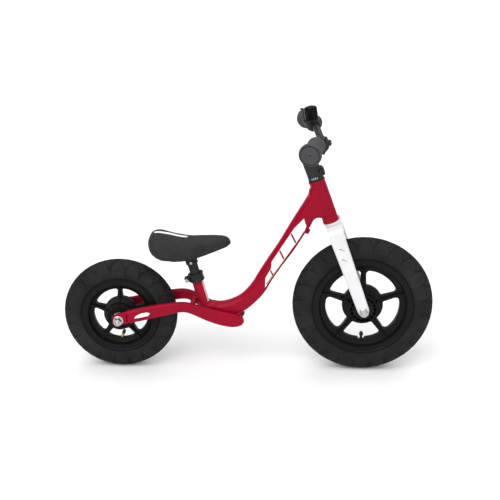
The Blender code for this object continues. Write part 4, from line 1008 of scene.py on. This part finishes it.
def make_stem():
    """The stem with its marks, pinch bolt and cap."""
    stem = cylinder(0.0165, 0.0027, 0.058, STEER, 64)
    arm = fillet(mm([(-15, 34, 1), (-13, 55, 6), (12, 73, 4), (22, 81, 3), (34, 77, 0), (30, 68, 0),
                     (21.5, 60.5, 1), (16.5, 50, 3), (14, 34, 1)]), 5)
    boss = fillet(mm([(8, 5, 1), (8, 25.5, 1), (18.5, 25.5, 4), (23, 20, 4), (23, 7, 3)]), 5)
    side = STEER @ turn("X", 90)
    weld(stem, prism(arm, -0.0125, 0.0125, side), prism(boss, -0.0105, 0.0105, side),
         box((-0.012, -0.0165, -0.0145), (-0.0004, 0.0165, 0.0145), FACEPLATE))
    cut(stem, box((-0.0004, -0.03, -0.0170), (0.03, 0.03, 0.0170), FACEPLATE),
        cylinder(0.0168, 0.058, 0.098, STEER, 64))
    melt(stem, 0.00085, 4)
    cut(stem, cylinder(BAR_R + 0.0002, -0.04, 0.04, BAR @ ALONG_Y, 48),
        cylinder(STEERER_R + 0.0003, -0.01, 0.088, STEER, 48),
        box((0.005, -0.0010, -0.01), (0.03, 0.0010, 0.0315), STEER),
        cylinder(0.0028, -0.02, 0.02, PINCH @ ALONG_Y), cylinder(0.0046, 0.0088, 0.02, PINCH @ turn("X", 90)))
    shade(stem, 38)
    dress(stem, "steering", ALLOY, "stem")
    spans = ((-124, -113, 0.0086), (-109, -99, 0.0094), (-95, -86, 0.0094), (-82, -72, 0.0086))
    marks = [prism(arc_band(0.0162, 0.01665, start, end, 8), 0.0048, high, STEER)
             for start, end, high in spans]
    dress(merged(marks), "steering", DECAL_GREY, name="stem_marks")
    at = PINCH @ turn("X", 90)
    pinch = revolve([(0, -0.0112), (0.0022, -0.0112), (0.0025, -0.0108), (0.0025, 0.0108), (0.0042, 0.0110),
                     (0.0042, 0.0142), (0.0037, 0.0148), (0, 0.0148)], 40, at)
    cut(pinch, prism(circle(0.0022, 6), 0.0122, 0.03, at))
    dress(pinch, "steering", BLACK_STEEL, "stem_pinch_bolt")
    top = STEER @ shift(0, 0, 0.0583)
    cap = revolve([(0, 0.0020), (0.0050, 0.0020), (0.0056, 0.0028), (0.0140, 0.0028), (0.0152, 0.0024),
                   (0.0161, 0.0014), (0.0162, 0.0000), (0, 0.0000)], 72, top)
    dress(cap, "steering", PLASTIC, "stem_cap")


def make_faceplate():
    """The plate that clamps the bar, and its four bolts."""
    body = box((0.0004, -0.0170, -0.0155), (0.0046, 0.0170, 0.0155), FACEPLATE)
    weld(body, cylinder(0.0162, -0.0170, 0.0170, FACEPLATE @ ALONG_Y, 64))
    cut(body, box((-0.03, -0.03, -0.03), (0.0006, 0.03, 0.03), FACEPLATE))
    melt(body, 0.0007, 3)
    cut(body, cylinder(BAR_R + 0.0002, -0.04, 0.04, BAR @ ALONG_Y, 48),
        *[cylinder(0.0042, 0.0100, 0.03, place, 32) for place in FACEPLATE_BOLTS],
        *[cylinder(0.0023, -0.002, 0.03, place, 24) for place in FACEPLATE_BOLTS])
    shade(body, 38)
    dress(body, "steering", ALLOY, "stem_faceplate")
    for number, place in enumerate(FACEPLATE_BOLTS, 1):
        bolt = revolve([(0, -0.0110), (0.0018, -0.0110), (0.0020, -0.0107), (0.0020, 0.0103),
                        (0.0038, 0.0103), (0.0038, 0.0159), (0.0034, 0.0165), (0, 0.0165)], 32, place)
        cut(bolt, prism(circle(0.0020, 6), 0.0136, 0.02, place))
        dress(bolt, "steering", BLACK_STEEL, "faceplate_bolt_" + str(number))


def make_handlebar():
    """The bent bar and its two grips."""
    path = BAR_PATH + [GRIP_START - GRIP_AXIS * 0.004]
    bend = [Vector(row) for row in smooth_rows([list(p) for p in path], 6)]
    left = bend + [GRIP_START + GRIP_AXIS * d for d in (0.002, 0.010, 0.030, 0.058)]
    right = [Vector((p.x, -p.y, p.z)) for p in left]
    bar = tube([BAR @ p for p in list(reversed(right[1:])) + left], BAR_R, 32)
    dress(bar, "handlebar", BAR_PAINT, "handlebar")
    length = GRIP_LENGTH
    for side, name in SIDES:
        axis = Vector((GRIP_AXIS.x, side * GRIP_AXIS.y, GRIP_AXIS.z))
        at = BAR @ Matrix.Translation(Vector((GRIP_START.x, side * GRIP_START.y, GRIP_START.z)))
        at = at @ axis.to_track_quat("Z", "Y").to_matrix().to_4x4()
        outer = [(BAR_R + 0.0002, 0), (0.0182, 0), (0.0190, 0.0007), (0.0190, 0.0042), (0.0180, 0.0054),
                 (0.0160, 0.0070)]
        start, end, ribs = 0.0085, length - 0.0160, 12
        for i in range(ribs):
            z = start + (end - start) * i / ribs
            step = (end - start) / ribs
            outer += [(0.0156, z), (0.0161, z + 0.25 * step), (0.0161, z + 0.75 * step)]
        outer += [(0.0161, length - 0.0155), (0.0180, length - 0.0140), (0.0214, length - 0.0124),
                  (0.0231, length - 0.0102), (0.0235, length - 0.0072), (0.0233, length - 0.0040),
                  (0.0225, length - 0.0014), (0.0215, length - 0.0003), (0.0207, length),
                  (0.0205, length - 0.0016), (0.0197, length - 0.0016), (0.0194, length - 0.0002),
                  (0.0190, length - 0.0016), (0.0183, length - 0.0016), (0.0180, length)]
        for i in range(10):
            outer += [(0.0173 - 0.0014 * i, length), (0.0168 - 0.0014 * i, length - 0.0004)]
        outer += [(0.0030, length), (0.0018, length - 0.0004), (0.0014, length - 0.0030),
                  (0.0014, length - 0.0090), (BAR_R + 0.0002, length - 0.0090)]
        grip = revolve(outer, 64, at, sharp=45)
        dress(grip, "handlebar", GRIP, "grip_" + name)


def make_bell():
    """The bell's base with its band, the dome, the screw and the striker."""
    back = -0.0053 - 0.0170
    base = revolve([(0, 0.0166), (0.0130, 0.0166), (0.0135, 0.0162), (0.0135, 0.0139), (0.0130, 0.0135),
                    (0, 0.0135)], 56, BELL @ shift(-0.0053, 0, 0))
    band = revolve([(0.0078, -0.006), (0.0108, -0.006), (0.0112, -0.0056), (0.0112, 0.0056), (0.0108, 0.006),
                    (0.0078, 0.006)], 48, BELL @ ALONG_Y)
    neck = box((-0.0063, -0.0058, 0.0090), (0.0042, 0.0058, 0.0150), BELL)
    ears = [box((back - 0.0022, y - 0.001, 0.0128), (-0.0153, y + 0.001, 0.0166), BELL)
            for y in (-0.0042, 0.0042)]
    weld(base, band, neck, *ears)
    dress(base, "handlebar", PLASTIC, "bell_base")
    outside = [(0.0024, 0.0454), (0.0060, 0.0453), (0.0090, 0.0450), (0.0112, 0.0444), (0.0128, 0.0433),
               (0.0137, 0.0417), (0.0140, 0.0397), (0.0140, 0.0192), (0.0144, 0.0184), (0.0144, 0.0175)]
    inside = [(0.0132, 0.0175), (0.0130, 0.0393), (0.0126, 0.0411), (0.0116, 0.0425), (0.0090, 0.0437),
              (0.0024, 0.0442)]
    dome = revolve(outside + inside, 88, BELL @ shift(-0.0053, 0, 0), sharp=50)
    dress(dome, "handlebar", BELL_GLOSS, "bell_dome")
    screw = revolve([(0, 0.0468), (0.0022, 0.0467), (0.0036, 0.0464), (0.0044, 0.0459), (0.0045, 0.0455),
                     (0.0020, 0.0455), (0.0020, 0.0168), (0, 0.0168)], 36, BELL @ shift(-0.0053, 0, 0))
    cut(screw, box((-0.0053 - 0.006, -0.0005, 0.0461), (-0.0053 + 0.006, 0.0005, 0.05), BELL))
    dress(screw, "handlebar", BLACK_STEEL, "bell_screw", slot="zinc_steel")
    outline = fillet([(back - 0.0012, 0.0128, 0.001), (back + 0.0009, 0.0128, 0.001),
                      (back + 0.0009, 0.0440, 0.0012), (back - 0.0060, 0.0440, 0.0010),
                      (back - 0.0060, 0.0418, 0.0009), (back - 0.0012, 0.0415, 0.0014)], 5)
    arm = prism(outline, -0.0028, 0.0028, BELL @ turn("X", 90))
    bevel(arm, 0.0004, 2, 50)
    weld(arm, cylinder(0.0008, -0.0060, 0.0060, BELL @ shift(back, 0, 0.0147) @ ALONG_Y, 20))
    dress(arm, "bell_striker", PLASTIC, "bell_striker")


# ------------------------------------------------------------------ seat

# Sections of the saddle in mm: X, half width, Z of the top, Z of the bottom
SADDLE_ROWS = [(-217.5, 18, 304, 298), (-214.5, 34, 311.5, 291), (-207.5, 48.5, 319.3, 283.5),
               (-193, 59, 320.6, 275.5), (-175, 60.8, 314.8, 271), (-155, 57.3, 309.2, 268.5),
               (-135, 49.4, 306, 267.8), (-115, 40, 306.4, 271.5), (-95, 31.3, 309.4, 276),
               (-75, 26.3, 311.8, 282.2), (-60, 23.8, 312.8, 287.3), (-49, 20.8, 312.4, 290.3),
               (-41.5, 16.3, 309.4, 292.8), (-37.5, 10.8, 304.8, 294.8), (-35.4, 4, 300.5, 297)]
# How long the cover's cloth settles, and the furthest that a point of it may move
CLOTH_FRAMES = 20
CLOTH_REACH = 0.005


def saddle_half(half, top, bottom, inset=0.0):
    height = top - bottom
    return [[(half - inset) * across, bottom + height * up] for across,
            up in ((1, 0), (1, 0.22), (0.97, 0.45), (0.86, 0.68), (0.66, 0.85), (0.36, 0.965), (0, 1))]


def inflate(obj):
    """Presses a cushion out from inside, so that its cover is stretched over it."""
    modify(obj, "REMESH", mode="VOXEL", voxel_size=0.0045)
    bake(obj, 0)
    rest = [vert.co.copy() for vert in obj.data.vertices]
    cloth = modify(obj, "CLOTH")
    for key, value in {"quality": 6, "mass": 0.3, "tension_stiffness": 40, "compression_stiffness": 40,
                       "shear_stiffness": 20, "bending_stiffness": 2, "use_pressure": True,
                       "uniform_pressure_force": 4}.items():
        setattr(cloth.settings, key, value)
    cloth.settings.effector_weights.gravity = 0
    cloth.point_cache.frame_start, cloth.point_cache.frame_end = 1, CLOTH_FRAMES
    for number in range(1, CLOTH_FRAMES + 1):
        bpy.context.scene.frame_set(number)
    bake(obj, 0)
    for vert, start in zip(obj.data.vertices, rest):
        move = vert.co - start
        if move.length > CLOTH_REACH:
            vert.co = start + move.normalized() * CLOTH_REACH
    bpy.context.scene.frame_set(1)
    modify(obj, "SMOOTH", factor=0.5, iterations=3)
    modify(obj, "SUBSURF", levels=1, render_levels=1)
    bake(obj, 0)
    obj.data.shade_smooth()


def flat_ring(x, half, low, high):
    """A ring across the saddle at one X, between two heights."""
    return [Vector((x, y, z)) for y, z in ((half, low), (half, high), (-half, high), (-half, low))]


def make_saddle():
    """The padded cover with its stripe, the pan, the bracket with its bolt, and the seatpost."""
    rows = smooth_rows(mm(SADDLE_ROWS), 3)
    rings = []
    for x, half, top, bottom in rows:
        ring = [Vector((x, y, z)) for y, z in smooth_rows(saddle_half(half, top, bottom, 0.0016), 4)]
        rings.append(ring + [Vector((x, -p.y, p.z)) for p in reversed(ring[:-1])])
    pad = loft(rings, 60)
    inflate(pad)
    pan_rows = [(-0.193, 0.0414), (-0.175, 0.0431), (-0.155, 0.0402), (-0.135, 0.0334), (-0.115, 0.0255),
                (-0.095, 0.0183), (-0.075, 0.0141)]
    recess = [(-0.1935, 0.0419)] + [(x, half + 0.0005) for x, half in pan_rows[1:-1]] + [(-0.0745, 0.0146)]
    cut(pad, loft([flat_ring(x, half, 0.24, 0.2888) for x, half in recess]))
    shade(pad, 50)
    tree = surface_of(pad)
    dress(pad, "seat", SADDLE, "saddle_pad")

    path = smooth_rows([[-0.2040, 0.0022], [-0.2020, 0.0038], [-0.198, 0.0044], [-0.170, 0.0047],
                        [-0.150, 0.0044], [-0.138, 0.0040], [-0.1325, 0.0030], [-0.131, 0.0016]], 3)
    outlines = [[(x, y - 0.0026) for x, y in path] + [(x, -y - 0.0026) for x, y in reversed(path)]]
    stripe = decal(outlines, tree, shift(0, 0, 0.30), 0.0025, 0.0005, 0.0011)
    dress(stripe, "seat", STRIPE, name="saddle_stripe")

    pan = loft([flat_ring(x, half, 0.2845, 0.2885) for x, half in pan_rows])
    ribs = [box((-0.185, y - 0.0010, 0.2790), (-0.078, y + 0.0010, 0.2850)) for y in (-0.012, 0.012)]
    ribs += [box((x - 0.0010, -0.0145, 0.2795), (x + 0.0010, 0.0145, 0.2850))
             for x in (-0.170, -0.150, -0.090)]
    weld(pan, *ribs)
    bevel(pan, 0.0006, 2, 50)
    dress(pan, "seat", PLASTIC, "saddle_pan")

    profile = fillet([(0.0001, 0.0553, 0), (POST_R + 0.0003, 0.0553, 0), (POST_R + 0.0003, 0.040, 0),
                      (0.0137, 0.040, 0.0006), (0.0137, 0.050, 0.004), (0.0150, 0.056, 0.003),
                      (0.022, 0.068, 0.004), (0.026, 0.095, 0), (0.0001, 0.095, 0)], 4)
    bracket = revolve(profile, 56, SEAT)
    cut(bracket, box((-0.25, -0.05, 0.2842), (0, 0.05, 0.36)),
        cylinder(0.0029, -0.03, 0.03, SEAT @ shift(0, 0, 0.046) @ ALONG_Y))
    dress(bracket, "seat", PLASTIC, "saddle_bracket")
    post = revolve([(POST_R - 0.0016, -0.080), (POST_R - 0.0003, -0.080), (POST_R, -0.0795), (POST_R, 0.0545),
                    (POST_R - 0.0003, 0.055), (POST_R - 0.0016, 0.055)], 64, SEAT)
    dress(post, "seat", POST_PAINT, "seatpost")
    at = SEAT @ shift(0, 0, 0.046) @ turn("X", 90)
    bolt = revolve([(0, -0.0150), (0.0022, -0.0150), (0.0025, -0.0146), (0.0025, 0.0146), (0.0034, 0.0146),
                    (0.0034, 0.0170), (0.0029, 0.0176), (0, 0.0176)], 40, at)
    add_nut(bolt, 0.0045, -0.0180, -0.0146, at)
    cut(bolt, prism(circle(0.0022, 6), 0.0155, 0.03, at))
    dress(bolt, "seat", ZINC, "saddle_cross_bolt")


# ------------------------------------------------------------------ stickers


def arc_band(radius_in, radius_out, start, end, steps=16):
    def arc(radius, a, b):
        return [(radius * cos(radians(a + (b - a) * i / steps)),
                 radius * sin(radians(a + (b - a) * i / steps))) for i in range(steps + 1)]
    return arc(radius_out, start, end) + arc(radius_in, end, start)


def make_stickers():
    """The stickers on the main tube and stays, the fork's marks and the seat tube's scale."""
    tree = surface_of(bpy.data.objects["main_tube_look"])
    along, across = Vector((0.543, 0, 0.839)), Vector((-0.839, 0, 0.543))
    near = Matrix(((along.x, across.x, 0, 0.056), (0, 0, -1, 0), (along.z, across.z, 0, 0.2143),
                   (0, 0, 0, 1)))
    band = mm([(-23.1, 4.8), (-3.5, 16.6), (22.6, 18.5), (36.0, 26.0), (128.0, 28.0), (158.0, 23.0),
               (146.7, 9.0), (132.8, 5.4), (37.7, 6.2)])
    slashes = [mm([(9.0, 6.4), (13.0, 6.4), (20.0, 17.4), (16.0, 17.4)]),
               mm([(54.0, 7.4), (58.5, 7.4), (70.0, 26.0), (65.5, 26.0)]),
               mm([(100.0, 7.0), (104.5, 7.0), (116.0, 26.6), (111.5, 26.6)])]
    patch = mm([(-249.8, 133.2), (-245.1, 139.3), (-233.8, 145.5), (-220.4, 148.1), (-213.8, 145.8),
                (-218.5, 139.7), (-234.1, 135.8)])
    for side, name in ((1, "right"), (-1, "left")):
        mirror = Matrix.Diagonal((1, side, 1, 1))
        piece = decal([band], tree, mirror @ near, 0.004)
        dress(piece, "frame", DECAL_WHITE, name="main_tube_sticker_" + name)
        piece = decal(slashes, tree, mirror @ near, 0.004, 0.0003, 0.0004)
        dress(piece, "frame", DECAL_RED, name="main_tube_slashes_" + name)
        stay = surface_of(bpy.data.objects["stay_look_" + name])
        piece = decal([patch], stay, mirror @ turn("X", 90), 0.003)
        dress(piece, "frame", DECAL_WHITE, name="stay_sticker_" + name)
    dashes = ([(-0.0050, 0.0018), (0.0005, -0.0022), (0.0015, -0.0008), (-0.0038, 0.0030)],
              [(0.0020, -0.0034), (0.0044, -0.0052), (0.0050, -0.0040), (0.0028, -0.0024)])
    marks = [prism([(x + dx, z + dz) for dx, dz in dash], BLADE_Y + 0.0058, BLADE_Y + 0.00625, STEER @ WHEEL)
             for x, z in ((0.0042, -0.1512), (0.0016, -0.1754)) for dash in dashes]
    dress(merged(marks), "steering", DECAL_RED, name="fork_marks", slot="fork_white")
    strip = prism(arc_band(SEAT_TUBE_R - 0.0002, SEAT_TUBE_R + 0.00015, -39, 39), -0.0540, -0.0042, SEAT)
    dress(strip, "frame", SCALE, name="seat_tube_scale")
    ticks = []
    for index in range(9):
        z = -0.0085 - 0.0052 * index
        wide = 20 if index % 2 == 0 else 11
        for start in (-36, 36 - wide):
            band = arc_band(SEAT_TUBE_R, SEAT_TUBE_R + 0.00028, start, start + wide, 6)
            ticks.append(prism(band, z - 0.0005, z + 0.0005, SEAT))
    dress(merged(ticks), "frame", DECAL_BLACK, name="seat_tube_scale_marks")


make_frame()
make_seat_clamp()
make_axle(FRONT, "steering", half=0.0625, bearing_end=0.0345, fork_face=0.040, face=0.052, tip=0.061,
          flange=0.0105)
make_axle(REAR, "frame", half=0.066, bearing_end=0.0295, fork_face=0.041, face=0.047, tip=0.0615,
          flange=0.0112)
make_rim(FRONT)
make_rim(REAR)
make_tyre(FRONT)
make_tyre(REAR)
make_valves()
make_fork()
make_stem()
make_faceplate()
make_handlebar()
make_bell()
make_saddle()
make_stickers()

# The inner pieces, which keep their CAD shapes
steel_nodes = ("headset_bearing_upper", "headset_bearing_lower", "front_bearing_left", "front_bearing_right",
               "rear_bearing_left", "rear_bearing_right", "fork_steerer")
inner = [(node, ZINC, "zinc_steel") for node in steel_nodes]
inner += [(end + "_inner_tube", TYRE, "tube_rubber") for end in ("front", "rear")]
for node, finish, name in inner:
    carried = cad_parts[node]
    if not carried.data.materials:
        carried.data.materials.append(finish)
    for index in range(len(carried.data.materials)):
        carried.data.materials[index] = finish

# ------------------------------------------------------------------ floor, light and camera

floor = skin([Vector(p) for p in ((-30, -30, 0), (30, -30, 0), (30, 30, 0), (-30, 30, 0))], [(0, 1, 2, 3)])
floor.name = "floor"
floor.data.materials.append(FLOOR)


def add_light(name, direction, angle, strength):
    """A large soft light, far away in the given direction."""
    data = bpy.data.lights.new(name, "SUN")
    data.angle = radians(angle)
    data.energy = strength
    placed(name, data).rotation_euler = Vector(direction).to_track_quat("Z", "Y").to_euler()


add_light("key", (-0.35, -0.60, 0.72), 55, 2.3)
add_light("top", (0.10, 0.25, 0.96), 70, 1.4)
add_light("fill", (0.65, -0.65, 0.40), 70, 0.8)
world = bpy.data.worlds.new("studio")
world.use_nodes = True
world.node_tree.nodes["Background"].inputs["Color"].default_value = (1, 1, 1, 1)
world.node_tree.nodes["Background"].inputs["Strength"].default_value = 0.40
bpy.context.scene.world = world
bpy.context.scene.view_settings.view_transform = "Standard"

# The camera, as fitted to the photo
camera_data = bpy.data.cameras.new("camera")
camera_data.lens = 75.92
camera = placed("camera", camera_data)
camera.location = (0.07233, -2.17512, 1.08471)
azimuth, elevation = radians(1.7547), radians(20.2847)
back = Vector((sin(azimuth) * cos(elevation), -cos(azimuth) * cos(elevation), sin(elevation)))
camera.rotation_euler = (-back).to_track_quat("-Z", "Y").to_euler()
bpy.context.scene.camera = camera
